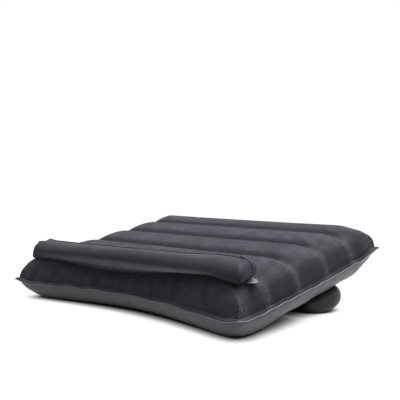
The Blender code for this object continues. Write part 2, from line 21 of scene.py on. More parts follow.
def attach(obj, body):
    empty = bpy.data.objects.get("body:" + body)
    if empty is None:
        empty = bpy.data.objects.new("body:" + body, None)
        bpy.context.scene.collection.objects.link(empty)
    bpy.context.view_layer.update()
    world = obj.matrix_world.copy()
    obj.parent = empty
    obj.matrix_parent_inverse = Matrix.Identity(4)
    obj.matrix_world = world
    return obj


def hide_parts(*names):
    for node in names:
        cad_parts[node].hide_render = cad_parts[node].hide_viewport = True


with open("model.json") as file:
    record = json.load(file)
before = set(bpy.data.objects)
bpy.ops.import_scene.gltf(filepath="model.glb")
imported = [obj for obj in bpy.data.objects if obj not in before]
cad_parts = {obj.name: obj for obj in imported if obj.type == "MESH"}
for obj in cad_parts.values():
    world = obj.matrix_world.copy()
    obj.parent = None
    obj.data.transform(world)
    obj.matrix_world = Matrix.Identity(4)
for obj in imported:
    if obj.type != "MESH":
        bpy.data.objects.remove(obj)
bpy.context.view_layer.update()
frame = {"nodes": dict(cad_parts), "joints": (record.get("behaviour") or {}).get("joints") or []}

PHOTO_SIDE = 400
ROOT_BODY = "desk"
SHEET_SHARP = 50.0
MOULDED_SHARP = 35.0
FIRST_COLOUR, SECOND_COLOUR, MIXED_COLOUR = 6, 7, 2
Array = np.ndarray
Triple = tuple[float, float, float]
Colour = Triple
log = logging.getLogger("desk_scene")


class Facing(Enum):
    """Which way a sheet or a chamber bulges."""

    UP = 1
    DOWN = -1


class Half(Enum):
    """The wrist rest's two sheets, by the side of the seam that each lies on in depth."""

    FRONT = -1
    REAR = 1


class Joining(Enum):
    """How a second closed piece is combined with a first."""

    UNION = "UNION"
    DIFFERENCE = "DIFFERENCE"


class Arithmetic(Enum):
    """How values are folded together in a material."""

    ADD = "ADD"
    MULTIPLY = "MULTIPLY"
    MAXIMUM = "MAXIMUM"


def smooth_step(value: Array) -> Array:
    """Ease from 0 to 1 with level ends.

    Args:
        value: Any numbers; they are clipped to 0 and 1 first.

    Returns:
        The eased numbers.
    """
    held = np.clip(value, 0.0, 1.0)
    return held * held * (3 - 2 * held)


@dataclass(frozen=True)
class Ripple:
    """An uneven run of small waves along a line, the same each time for one seed."""

    shortest: float
    longest: float
    seed: int
    terms: int = 6

    def at(self, place: Array) -> Array:
        """Height of the waves, about -1 to 1.

        Args:
            place: Distances along the line, in metres.

        Returns:
            One height for each distance.
        """
        random = np.random.default_rng(self.seed)
        total = np.zeros_like(place)
        for _ in range(self.terms):
            length = random.uniform(self.shortest, self.longest)
            phase = random.uniform(0.0, 2 * math.pi)
            total += np.sin(2 * math.pi * place / length + phase)
        return total / math.sqrt(self.terms)


@dataclass(frozen=True)
class Contour:
    """A smooth curve along x through a few places where the share is known."""

    places: tuple[float, ...] = (-1.0, 1.0)
    shares: tuple[float, ...] = (1.0, 1.0)

    def at(self, x: Array) -> Array:
        """The share at each place.

        Args:
            x: Places along x, in metres.

        Returns:
            One share for each, held at the ends.
        """
        places, shares = np.array(self.places), np.array(self.shares)
        slopes = np.gradient(shares, places)
        held = np.clip(x, places[0], places[-1])
        n = np.clip(np.searchsorted(places, held) - 1, 0, len(places) - 2)
        length = places[n + 1] - places[n]
        t = (held - places[n]) / length
        eased = t * t * (3 - 2 * t)
        curved = length * t * (1 - t) * (slopes[n] * (1 - t) - slopes[n + 1] * t)
        return shares[n] + (shares[n + 1] - shares[n]) * eased + curved


def shaded(colour: Colour, share: float) -> Colour:
    """A colour made darker or lighter by a share."""
    return tuple(share * part for part in colour)


def map_range(tree: NodeTree, source: NodeSocket, limits: tuple[float, ...]) -> Node:
    """Add a node that maps a range of values to another, held at its ends.

    Args:
        tree: The material's or the world's node tree.
        source: The values.
        limits: The low and the high value, and the result at each.

    Returns:
        The node.
    """
    node = tree.nodes.new("ShaderNodeMapRange")
    tree.links.new(source, node.inputs["Value"])
    for key, value in zip(("From Min", "From Max", "To Min", "To Max"), limits):
        node.inputs[key].default_value = value
    return node


class Wiring:
    """A material's node tree, with short ways to add and join its nodes."""

    def __init__(self, name: str) -> None:
        """Make the material and find its shader.

        Args:
            name: The material's name.
        """
        self.material = bpy.data.materials.new(name)
        self.material.use_nodes = True
        self.tree = self.material.node_tree
        self.shader = self.tree.nodes["Principled BSDF"]
        self.place = self.add("ShaderNodeTexCoord").outputs["Object"]

    def add(self, kind: str, **settings: object) -> Node:
        """Add a node.

        Args:
            kind: The node's type.
            **settings: Its properties.

        Returns:
            The node.
        """
        node = self.tree.nodes.new(kind)
        for key, value in settings.items():
            setattr(node, key, value)
        return node

    def join(self, source: NodeSocket, target: NodeSocket) -> None:
        """Link an output to an input."""
        self.tree.links.new(source, target)

    def drive(self, name: str, source: NodeSocket) -> None:
        """Link an output to one of the shader's sockets."""
        self.join(source, self.shader.inputs[name])

    def fixed(self, **values: float | Colour) -> None:
        """Set sockets of the shader that are the same all over.

        Args:
            **values: A value for each socket, its name with _ for a space.
        """
        for key, value in values.items():
            socket = self.shader.inputs[key.replace("_", " ")]
            socket.default_value = (*value, 1.0) if isinstance(value, tuple) else value

    def noise(
        self, size: float, detail: float = 2.0, stretch: Triple = (1, 1, 1), turn: float = 0.0
    ) -> NodeSocket:
        """Noise in the object's own space.

        Args:
            size: The size of its features, in metres.
            detail: How many finer layers it has.
            stretch: How much finer it is along each axis.
            turn: Angle about z of the stretched axes, in degrees.

        Returns:
            The output, about 0 to 1.
        """
        mapping = self.add("ShaderNodeMapping")
        mapping.inputs["Scale"].default_value = stretch
        mapping.inputs["Rotation"].default_value[2] = math.radians(turn)
        texture = self.add("ShaderNodeTexNoise")
        texture.inputs["Scale"].default_value = 1 / size
        texture.inputs["Detail"].default_value = detail
        self.join(self.place, mapping.inputs["Vector"])
        self.join(mapping.outputs["Vector"], texture.inputs["Vector"])
        return texture.outputs["Fac"]

    def cells(self, size: float) -> NodeSocket:
        """Distance to the nearest of many scattered points.

        Args:
            size: The usual distance between the points, in metres.

        Returns:
            The output, 0 at a point.
        """
        texture = self.add("ShaderNodeTexVoronoi")
        texture.inputs["Scale"].default_value = 1 / size
        self.join(self.place, texture.inputs["Vector"])
        return texture.outputs["Distance"]

    def spread(
        self, source: NodeSocket, low: float, high: float, start: float, end: float
    ) -> NodeSocket:
        """Map a range of values to another, held at its ends.

        Args:
            source: The values.
            low: The value that becomes start.
            high: The value that becomes end.
            start: The result at low.
            end: The result at high.

        Returns:
            The mapped output.
        """
        limits = (low, high, start, end)
        return map_range(self.tree, source, limits).outputs["Result"]

    def fold(self, operation: Arithmetic, *sources: NodeSocket | float) -> NodeSocket:
        """Fold several values together with one arithmetic operation.

        Args:
            operation: The operation.
            *sources: Outputs or plain numbers.

        Returns:
            The output of the last node.
        """
        result = sources[0]
        for source in sources[1:]:
            node = self.add("ShaderNodeMath", operation=operation.value)
            for socket, value in zip(node.inputs, (result, source)):
                if isinstance(value, float):
                    socket.default_value = value
                else:
                    self.join(value, socket)
            result = node.outputs[0]
        return result

    def attribute(self, name: str) -> NodeSocket:
        """The value that the mesh holds at each point under a name."""
        return self.add("ShaderNodeAttribute", attribute_name=name).outputs["Fac"]

    def blend(self, share: NodeSocket, first: NodeSocket | Colour, second: Colour) -> NodeSocket:
        """Mix two colours.

        Args:
            share: 0 for the first colour to 1 for the second.
            first: A colour, or an output that gives one.
            second: A colour.

        Returns:
            The mixed colour's output.
        """
        node = self.add("ShaderNodeMix", data_type="RGBA")
        self.join(share, node.inputs["Factor"])
        if isinstance(first, tuple):
            node.inputs[FIRST_COLOUR].default_value = (*first, 1.0)
        else:
            self.join(first, node.inputs[FIRST_COLOUR])
        node.inputs[SECOND_COLOUR].default_value = (*second, 1.0)
        return node.outputs[MIXED_COLOUR]

    def clouded(
        self, clouds: NodeSocket, colour: Colour, darkest: float, lightest: float = 1.0
    ) -> None:
        """Let the base colour wander between two shades of one colour.

        Args:
            clouds: Noise, about 0 to 1.
            colour: The colour.
            darkest: Its share where the noise is low.
            lightest: Its share where the noise is high.
        """
        tone = self.spread(clouds, 0.3, 0.7, 0.0, 1.0)
        shades = shaded(colour, darkest), shaded(colour, lightest)
        self.drive("Base Color", self.blend(tone, *shades))

    def bump(self, height: NodeSocket, distance: float, strength: float = 1.0) -> None:
        """Raise the surface's shading by a height, over what is raised already.

        Args:
            height: The height, 0 to 1.
            distance: The real height of 1, in metres.
            strength: How much of it shows.
        """
        node = self.add("ShaderNodeBump")
        node.inputs["Strength"].default_value = strength
        node.inputs["Distance"].default_value = distance
        self.join(height, node.inputs["Height"])
        normal = self.shader.inputs["Normal"]
        if normal.is_linked:
            self.join(normal.links[0].from_socket, node.inputs["Normal"])
        self.join(node.outputs["Normal"], normal)


@dataclass(frozen=True)
class Flock:
    """Short charcoal fibres on plastic with lint, uneven tone, painted shade and pale scuffs with a
    painted highlight.
    """

    name: str = "charcoal_flock"
    shade: Colour = (0.035, 0.034, 0.041)
    light: Colour = (0.142, 0.138, 0.163)
    # Colour of the pale scuffed nap, which is also a painted highlight.
    pale_and_highlight: Colour = (0.27, 0.268, 0.29)
    sheen: float = 0.6
    sheen_tint: Colour = (0.86, 0.83, 1.0)
    fibre: float = 0.0006
    fibre_share: float = 0.42
    fibre_height: float = 0.0003
    tuft: float = 0.0030
    tuft_share: float = 0.26
    tuft_height: float = 0.0004
    patch: float = 0.022
    patch_share: float = 0.32
    # Under the painted shade the tone keeps this share, and the sheen this share of its weight.
    painted_shade_tone: float = 0.1
    painted_shade_sheen: float = 0.4
    hatch: float = 0.0010
    lint_cell: float = 0.0052
    lint_scatter: float = 0.016

    def material(self) -> Material:
        """Wire the fibres, the patches, the painted shade, the pale scuffs with their painted
        highlight and the lint.

        Returns:
            The finished material.
        """
        wiring = Wiring(self.name)
        fibres = wiring.noise(self.fibre, 3)
        tufts = wiring.noise(self.tuft, 3, stretch=(1.0, 2.2, 1.0), turn=25)
        patches = wiring.noise(self.patch, 3)
        tone = wiring.fold(
            Arithmetic.ADD,
            wiring.spread(fibres, 0.35, 0.65, 0.0, self.fibre_share),
            wiring.spread(tufts, 0.35, 0.65, 0.0, self.tuft_share),
            wiring.spread(patches, 0.38, 0.62, 0.0, self.patch_share),
        )
        # Painted shade: this attribute darkens the tone towards the shade colour and weakens the
        # sheen on the forward-facing groove banks and low on the sides; upright is 1 outside it.
        pressed_and_painted_shade = wiring.attribute("pressed_and_painted_shade")
        upright = wiring.spread(pressed_and_painted_shade, 0.0, 1.0, 1.0, self.painted_shade_tone)
        tone_with_painted_shade = wiring.fold(Arithmetic.MULTIPLY, tone, upright)
        base = wiring.blend(tone_with_painted_shade, self.shade, self.light)
        sheen = wiring.spread(pressed_and_painted_shade, 0.0, 1.0, self.sheen, self.painted_shade_sheen * self.sheen)
        wiring.drive("Sheen Weight", sheen)
        # Pale hatched strokes at the corners and the grooves' ends: scuffed nap, and a painted
        # highlight of the flock's sheen.
        hatch = wiring.noise(self.hatch, 2, stretch=(1.0, 1.0, 0.5), turn=40)
        strokes = wiring.spread(hatch, 0.46, 0.64, 0.0, 0.9)
        worn_and_highlight = wiring.fold(Arithmetic.MULTIPLY, wiring.attribute("pale_and_highlight"), strokes)
        specks = wiring.spread(wiring.cells(self.lint_cell), 0.03, 0.07, 0.8, 0.0)
        scatter = wiring.spread(wiring.noise(self.lint_scatter, 1), 0.56, 0.66, 0.0, 1.0)
        lint = wiring.fold(Arithmetic.MULTIPLY, specks, scatter)
        pale = wiring.fold(Arithmetic.MAXIMUM, worn_and_highlight, lint)
        wiring.drive("Base Color", wiring.blend(pale, base, self.pale_and_highlight))
        wiring.fixed(
            Roughness=0.95,
            Specular_IOR_Level=0.12,
            Sheen_Roughness=0.35,
            Sheen_Tint=self.sheen_tint,
        )
        wiring.bump(fibres, self.fibre_height, 0.6)
        wiring.bump(tufts, self.tuft_height, 0.5)
        return wiring.material


@dataclass(frozen=True)
class SatinSheet:
    """Smooth calendered plastic with a fine grain, faint waves and handling marks."""

    name: str
    colour: Colour
    roughness: float = 0.42
    gloss: float = 0.5
    cut_edge_and_highlight: Colour = (0.22, 0.22, 0.24)
    darkest: float = 0.82
    lightest: float = 1.16
    cloud: float = 0.03
    grain: float = 0.0007
    grain_height: float = 0.00004
    wave: float = 0.014
    wave_height: float = 0.0003
    dust_cell: float = 0.006
    dust_scatter: float = 0.02
    tear: float = 0.004
    smear: float = 0.018

    def material(self) -> Material:
        """Wire the grain, the waves, the clouded colour, the pale cut edge with its painted
        highlight and the uneven gloss.

        Returns:
            The finished material.
        """
        wiring = Wiring(self.name)
        clouds = wiring.noise(self.cloud, 4)
        grain = wiring.noise(self.grain, 2)
        specks = wiring.spread(wiring.cells(self.dust_cell), 0.02, 0.05, 0.35, 0.0)
        scatter = wiring.spread(wiring.noise(self.dust_scatter, 1), 0.58, 0.66, 0.0, 1.0)
        tone = wiring.fold(
            Arithmetic.ADD,
            wiring.spread(clouds, 0.3, 0.7, 0.0, 0.75),
            wiring.spread(grain, 0.3, 0.7, 0.0, 0.25),
            wiring.fold(Arithmetic.MULTIPLY, specks, scatter),
        )
        shades = shaded(self.colour, self.darkest), shaded(self.colour, self.lightest)
        # The pale cut edge is the trimmed edge's colour and also a painted highlight on the welded
        # rim.
        ragged = wiring.spread(wiring.noise(self.tear, 3), 0.36, 0.56, 0.25, 1.0)
        edged = wiring.fold(Arithmetic.MULTIPLY, wiring.attribute("pale_and_highlight"), ragged)
        plain = wiring.blend(tone, *shades)
        wiring.drive("Base Color", wiring.blend(edged, plain, self.cut_edge_and_highlight))
        smears = wiring.noise(self.smear, 3, stretch=(0.5, 1.0, 1.0))
        rough = wiring.spread(smears, 0.3, 0.7, self.roughness - 0.05, self.roughness + 0.06)
        wiring.drive("Roughness", rough)
        wiring.fixed(Specular_IOR_Level=self.gloss)
        wiring.bump(wiring.noise(self.wave, 2), self.wave_height, 0.5)
        wiring.bump(grain, self.grain_height, 0.8)
        return wiring.material


@dataclass(frozen=True)
class ClearWeld:
    """Milky clear plastic of a weld flange, glossy and a little hazed."""

    name: str = "milky_weld_plastic"
    colour: Colour = (0.40, 0.41, 0.44)
    darkest: float = 0.7
    cloud: float = 0.006
    haze: float = 0.30
    haze_patch: float = 0.004
    clearness: float = 0.25
    wave: float = 0.005
    wave_height: float = 0.0003

    def material(self) -> Material:
        """Wire the hazed colour, the soft gloss and the uneven surface.

        Returns:
            The finished material.
        """
        wiring = Wiring(self.name)
        wiring.clouded(wiring.noise(self.cloud, 3), self.colour, self.darkest)
        patches = wiring.noise(self.haze_patch, 2)
        rough = wiring.spread(patches, 0.3, 0.7, self.haze - 0.06, self.haze + 0.08)
        wiring.drive("Roughness", rough)
        wiring.fixed(IOR=1.5, Transmission_Weight=self.clearness)
        wiring.bump(wiring.noise(self.wave, 2), self.wave_height, 0.5)
        return wiring.material


@dataclass(frozen=True)
class Moulding:
    """Grey moulded plastic of the valves, with a spark-eroded grain and slight sink marks."""

    name: str = "valve_moulding"
    colour: Colour = (0.115, 0.12, 0.13)
    darkest: float = 0.8
    lightest: float = 1.15
    grain: float = 0.0004
    grain_height: float = 0.00003
    sink: float = 0.006
    sink_height: float = 0.0001

    def material(self) -> Material:
        """Wire the grain, the sink marks, the clouded colour and the uneven gloss.

        Returns:
            The finished material.
        """
        wiring = Wiring(self.name)
        grain = wiring.noise(self.grain, 2)
        sinks = wiring.noise(self.sink, 3)
        wiring.clouded(sinks, self.colour, self.darkest, self.lightest)
        wiring.drive("Roughness", wiring.spread(grain, 0.3, 0.7, 0.32, 0.46))
        wiring.bump(grain, self.grain_height, 0.7)
        wiring.bump(sinks, self.sink_height, 0.4)
        return wiring.material


@dataclass(frozen=True)
class RibWeb:
    """Plain grey web stock of the ribs, with a faint pressed diamond grain."""

    name: str = "rib_web"
    colour: Colour = (0.14, 0.145, 0.155)
    darkest: float = 0.8
    cloud: float = 0.012
    grain: float = 0.0009
    grain_height: float = 0.00005

    def material(self) -> Material:
        """Wire the pressed grain and the clouded colour.

        Returns:
            The finished material.
        """
        wiring = Wiring(self.name)
        grain = wiring.noise(self.grain, 1, stretch=(1, 1, 2))
        wiring.clouded(wiring.noise(self.cloud, 3), self.colour, self.darkest)
        wiring.drive("Roughness", wiring.spread(grain, 0.3, 0.7, 0.4, 0.55))
        wiring.bump(grain, self.grain_height, 0.8)
        return wiring.material


@dataclass(frozen=True)
class Swell:
    """How one sheet of the cushion stands off the seam."""

    facing: Facing
    crown: float
    side_round: float
    front_round: float
    rear_round: float
    corner_fullness: float
    groove_depth: float
    thickness: float


@dataclass
class CushionForm:
    """The inflated form that the two cushion sheets share."""

    width: float = 0.460
    depth: float = 0.340
    belly_depth: float = 0.030
    belly_sharpness: float = 1.2
    side_draw_in: float = 0.004
    rear_draw_in: float = 0.003
    draw_in_sharpness: float = 6
    flange_width: float = 0.005
    seam_front_height: float = 0.0245
    seam_rear_height: float = 0.0830
    seam_gap: float = 0.0005
    roundness: float = 2.3
    channel_count: int = 5
    groove_sharpness: float = 2.4
    groove_end_margin: float = 0.004
    groove_fade_length: float = 0.042
    weld_strip: float = 0.0024
    corner_radius: float = 0.022
    corner_shift: float = 0.0070
    ear_shift: float = 0.0010
    left_corner_lift: float = 0.0050
    right_corner_lift: float = 0.0040
    rear_corner_lift: float = 0.0066
    corner_lift_reach: float = 0.040
    front_fullness: float = 4.2
    front_fullness_end: float = -0.04
    side_sag: float = 0.0022
    side_sag_reach: float = 0.036
    flange_wave: float = 0.0006
    edge_steps: int = 26
    edge_packing: float = 1.3
    middle_steps: int = 120
    channel_steps: int = 24
    crest_packing: float = 0.5
    flange_steps: int = 6
    top: Swell = Swell(
        facing=Facing.UP,
        crown=0.040,
        side_round=0.050,
        front_round=0.030,
        rear_round=0.030,
        corner_fullness=6,
        groove_depth=0.006,
        thickness=0.0008,
    )
    under: Swell = Swell(
        facing=Facing.DOWN,
        crown=0.042,
        side_round=0.058,
        front_round=0.080,
        rear_round=0.045,
        corner_fullness=0.7,
        groove_depth=0.005,
        thickness=0.0005,
    )

    @property
    def half_width(self) -> float:
        """Half the width over the flange."""
        return self.width / 2

    @property
    def front_y(self) -> float:
        """Where the front corners are."""
        return -self.depth / 2

    @property
    def slope(self) -> float:
        """Rise of the seam for each metre towards the rear."""
        return (self.seam_rear_height - self.seam_front_height) / self.depth

    @property
    def pitch(self) -> float:
        """Distance between two grooves."""
        return self.depth / self.channel_count

    @property
    def groove_lines(self) -> list[float]:
        """Where the grooves run, front to rear."""
        return [self.front_y + self.pitch * n for n in range(1, self.channel_count)]

    def seam_height(self, y: Array) -> Array:
        """Height of the weld seam at a depth."""
        return self.seam_front_height + self.slope * (y - self.front_y)

    def belly_share(self, x: Array) -> Array:
        """0 at the front corners to 1 in the middle of the curved front."""
        return np.maximum(np.cos(np.pi * x / self.width), 0.0) ** self.belly_sharpness

    def front_edge(self, x: Array) -> Array:
        """Front of the seam, curved in to go round the user's waist."""
        return self.front_y + self.belly_depth * self.belly_share(x)

    def rear_edge(self, x: Array) -> Array:
        """Rear of the seam, drawn in between its corners."""
        drawn = 1 - np.abs(x / self.half_width) ** self.draw_in_sharpness
        return -self.front_y - self.rear_draw_in * drawn

    def side_scale(self, y: Array) -> Array:
        """Share of the full width at a depth, drawn in between the corners."""
        drawn = 1 - np.abs(y / self.front_y) ** self.draw_in_sharpness
        return 1 - self.side_draw_in / self.half_width * drawn

    def rounding(self, distance: Array, radius: float) -> Array:
        """0 at the edge of a sheet to 1 at a radius in from it."""
        reach = np.clip(distance / radius, 0.0, 1.0)
        return (1 - (1 - reach) ** self.roundness) ** (1 / self.roundness)

    def to_groove(self, y: Array) -> Array:
        """Distance to the nearest groove's middle."""
        return np.min([np.abs(y - line) for line in self.groove_lines], axis=0)

    def groove_along(self, x: Array) -> Array:
        """1 along a groove, fading to 0 near the sides."""
        inward = self.half_width - np.abs(x) - self.groove_end_margin
        return smooth_step(inward / self.groove_fade_length)

    def groove_share(self, x: Array, y: Array) -> Array:
        """How far a place is down into a groove.

        Args:
            x: Places across.
            y: Places in depth.

        Returns:
            1 in the bottom of a groove, 0 on a crest and past the grooves' ends.
        """
        nearest = np.maximum(self.to_groove(y) - self.weld_strip / 2, 0.0)
        reach = (self.pitch - self.weld_strip) / 2
        across = np.maximum(0.0, 1 - nearest / reach) ** self.groove_sharpness
        return across * self.groove_along(x)

    def swelling(self, x: Array, y: Array, swell: Swell) -> Array:
        """How full the cushion is at a place.

        Args:
            x: Places across.
            y: Places in depth.
            swell: The sheet.

        Returns:
            0 on the flange to 1 away from the edges.
        """
        shares = np.stack(
            [
                self.rounding(self.half_width - self.flange_width - np.abs(x), swell.side_round),
                self.rounding(y - self.front_edge(x) - self.flange_width, swell.front_round),
                self.rounding(self.rear_edge(x) - self.flange_width - y, swell.rear_round),
            ]
        )
        inside = shares.min(axis=0) > 0
        power = swell.corner_fullness
        if power > self.front_fullness:
            rearward = smooth_step((y - self.front_y) / (self.front_fullness_end - self.front_y))
            power = self.front_fullness + (power - self.front_fullness) * rearward
        lost = (np.where(shares > 0, shares, 1.0) ** -power - 1).sum(axis=0)
        return np.where(inside, (1 + lost) ** (-1 / power), 0.0)

    def height(self, x: Array, y: Array, swell: Swell) -> Array:
        """Outer face of a sheet at a place.

        Args:
            x: Places across.
            y: Places in depth.
            swell: The sheet.

        Returns:
            The heights above the floor.
        """
        full = self.swelling(x, y, swell)
        lift = self.seam_gap / 2 + swell.thickness
        stand = lift + full * (swell.crown - swell.groove_depth * self.groove_share(x, y))
        return np.maximum(self.seam_height(y) + swell.facing.value * stand, 0.0)

    def edge_distances(self, x: Array, y: Array) -> tuple[Array, Array, Array]:
        """Distances in from the nearer side, the front and the rear of the seam."""
        return self.half_width - np.abs(x), y - self.front_edge(x), self.rear_edge(x) - y

    def to_edge(self, x: Array, y: Array) -> Array:
        """Distance in from the nearest edge of the seam."""
        side, front, rear = self.edge_distances(x, y)
        return np.minimum(np.minimum(side, front), rear)

    def columns(self) -> Array:
        """The grid's columns from left to right, closest together at the sides.

        Returns:
            Their places across, before the sides are drawn in.
        """
        inner = self.half_width - self.flange_width
        flange = self.half_width - self.flange_width * np.linspace(0, 1, self.flange_steps + 1)
        turn = np.linspace(0, math.pi / 2, self.edge_steps + 1)[1:]
        edge = inner - self.under.side_round * (1 - np.cos(turn))
        right = np.concatenate([flange, edge])
        middle = np.linspace(-right[-1], right[-1], self.middle_steps + 1)[1:-1]
        return np.concatenate([-right, middle, right[::-1]])

    def rows(self, x: Array) -> Array:
        """Places of the grid's rows in each column, with one row along each groove.

        Args:
            x: The columns.

        Returns:
            One line of places in depth for each column.
        """
        front = self.front_edge(x) + self.flange_width
        rear = self.rear_edge(x) - self.flange_width
        lines = self.groove_lines
        flange = np.linspace(0, 1, self.flange_steps + 1)
        edge = ((1 - np.cos(np.linspace(0, math.pi, self.edge_steps + 1))) / 2) ** self.edge_packing
        even = np.linspace(0, 1, self.channel_steps + 1)
        packed = even - self.crest_packing * np.sin(2 * math.pi * even) / (2 * math.pi)
        parts = [self.front_edge(x)[:, None] + self.flange_width * flange[None, :-1]]
        parts.append(front[:, None] + (lines[0] - front)[:, None] * edge[None, :-1])
        shape = (len(x), len(packed) - 1)
        for line in lines[:-1]:
            parts.append(np.broadcast_to(line + self.pitch * packed[:-1], shape))
        parts.append(rear[:, None] - (rear - lines[-1])[:, None] * edge[None, :0:-1])
        parts.append(rear[:, None] + self.flange_width * flange[None, :])
        return np.concatenate(parts, axis=1)

    def shift_corners(self, x: Array, y: Array, points: Array) -> None:
        """Round the seam's corners, lift them and let the sides sag between them.

        Args:
            x: Places across.
            y: Places in depth.
            points: The points of the grid, which are moved.
        """
        side, front, rear = self.edge_distances(x, y)
        front_lift = np.where(x > 0, self.right_corner_lift, self.left_corner_lift)
        front_shift = np.where(x > 0, self.corner_shift, self.ear_shift)
        corners = (
            (front, 1, front_lift, front_shift),
            (rear, -1, self.rear_corner_lift, self.ear_shift),
        )
        for distance, inward, lift, most in corners:
            near_side = np.clip(1 - side / self.corner_radius, 0, 1) ** 2
            near_edge = np.clip(1 - distance / self.corner_radius, 0, 1) ** 2
            shift = most * near_side * near_edge
            points[..., 0] -= np.sign(x) * shift
            points[..., 1] += inward * shift
            reach = self.corner_lift_reach
            close = smooth_step(1 - side / reach) * smooth_step(1 - distance / reach)
            points[..., 2] += lift * close
        between = np.cos(np.pi * np.clip(y / self.depth, -0.5, 0.5)) ** 2
        points[..., 2] -= self.side_sag * between * smooth_step(1 - side / self.side_sag_reach)


def grid_normals(points: Array) -> Array:
    """Unit normals of a grid of points, towards +Z where it lies flat.

    Args:
        points: Columns by rows by three numbers.

    Returns:
        The normals, in the same layout.
    """
    across = np.gradient(points, axis=0)
    along = np.gradient(points, axis=1)
    normal = np.cross(across, along)
    length = np.linalg.norm(normal, axis=2, keepdims=True)
    return normal / np.maximum(length, 1e-12)


def grid_faces(count: int, deep: int) -> list[list[int]]:
    """Faces of a grid of points.

    Args:
        count: How many columns it has.
        deep: How many points each column has.

    Returns:
        Point numbers of each face, towards +Z where the grid lies flat.
    """
    return [
        [i * deep + j, (i + 1) * deep + j, (i + 1) * deep + j + 1, i * deep + j + 1]
        for i in range(count - 1)
        for j in range(deep - 1)
    ]


def band_faces(count: int, first: int, last: int) -> list[list[int]]:
    """Faces of the bands between closed rings of points.

    Args:
        count: How many points each ring has.
        first: The ring that the first band starts from.
        last: The ring that the last band ends at.

    Returns:
        Point numbers of each face.
    """
    faces = []
    for low in range(first * count, last * count, count):
        high = low + count
        for n in range(count):
            following = (n + 1) % count
            faces.append([low + n, low + following, high + following, high + n])
    return faces


def make_object(
    name: str,
    points: Array | list[Vector],
    faces: list[list[int]],
    material: Material,
    sharp: float = SHEET_SHARP,
) -> Object:
    """Add a smooth-shaded mesh to the scene.

    Args:
        name: The piece's name.
        points: Its points, one line each.
        faces: Point numbers of each face.
        material: Its finish.
        sharp: Edges that turn more than this stay sharp, in degrees.

    Returns:
        The new object.
    """
    mesh = bpy.data.meshes.new(name)
    mesh.from_pydata([tuple(point) for point in points], [], faces)
    mesh.materials.append(material)
    mesh.shade_smooth()
    mesh.set_sharp_from_angle(angle=math.radians(sharp))
    made = bpy.data.objects.new(name, mesh)
    bpy.context.scene.collection.objects.link(made)
    return made


def from_bmesh(name: str, mesh: bmesh.types.BMesh, material: Material) -> Object:
    """Add an object with the form of a bmesh.

    Args:
        name: The piece's name.
        mesh: Its form, which is freed.
        material: Its finish.

    Returns:
        The new object.
    """
    mesh.verts.index_update()
    points = [vert.co.copy() for vert in mesh.verts]
    faces = [[vert.index for vert in face.verts] for face in mesh.faces]
    mesh.free()
    return make_object(name, points, faces, material)


def mark(made: Object, name: str, shares: Array) -> None:
    """Keep a share for each point under a name, which the finishes read."""
    layer = made.data.attributes.new(name, "FLOAT", "POINT")
    layer.data.foreach_set("value", np.asarray(shares, dtype=np.float32))


def thicken(made: Object, thickness: float) -> None:
    """Give an open sheet its stock thickness, inwards from its outer face.

    Args:
        made: The sheet.
        thickness: The thickness, in metres.
    """
    shell = made.modifiers.new("stock", "SOLIDIFY")
    shell.thickness = thickness
    shell.offset = -1
    shell.use_quality_normals = True


def drop_loose(made: Object) -> None:
    """Delete the points of a mesh that no face uses.

    Args:
        made: The piece.
    """
    mesh = bmesh.new()
    mesh.from_mesh(made.data)
    loose = [vert for vert in mesh.verts if not vert.link_faces]
    bmesh.ops.delete(mesh, geom=loose, context="VERTS")
    mesh.to_mesh(made.data)
    mesh.free()


def combine(first: Object, second: Object, operation: Joining, sharp: float) -> None:
    """Apply a boolean with a second closed piece, which is used up.

    Args:
        first: The piece that stays; its other modifiers are applied too.
        second: The piece that is joined to it or cut out of it.
        operation: Which of the two.
        sharp: Edges that turn more than this stay sharp, in degrees.
    """
    modifier = first.modifiers.new("combined", "BOOLEAN")
    modifier.operation = operation.value
    modifier.solver = "MANIFOLD"
    modifier.object = second
    graph = bpy.context.evaluated_depsgraph_get()
    mesh = bpy.data.meshes.new_from_object(
        first.evaluated_get(graph), preserve_all_data_layers=True, depsgraph=graph
    )
    first.modifiers.clear()
    first.data = mesh
    mesh.shade_smooth()
    mesh.set_sharp_from_angle(angle=math.radians(sharp))
    bpy.data.objects.remove(second, do_unlink=True)


def rounded(profile: list[tuple[float, float]], radius: float, closed: bool) -> Array:
    """A profile with each of its corners turned into a small curve.

    Args:
        profile: Pairs of a radius and a height.
        radius: How far from each corner its curve starts.
        closed: True where the last point joins the first.

    Returns:
        The points of the curved profile.
    """
    most_of_a_side, curve_points = 0.45, 5
    points = [np.array(pair) for pair in profile]
    count = len(points)
    result = []
    for n, corner in enumerate(points):
        if not closed and n in (0, count - 1):
            result.append(corner)
            continue
        before = points[n - 1] - corner
        after = points[(n + 1) % count] - corner
        start = corner + before * min(radius / np.linalg.norm(before), most_of_a_side)
        end = corner + after * min(radius / np.linalg.norm(after), most_of_a_side)
        for t in np.linspace(0, 1, curve_points):
            result.append((1 - t) ** 2 * start + 2 * t * (1 - t) * corner + t**2 * end)
    return np.array(result)


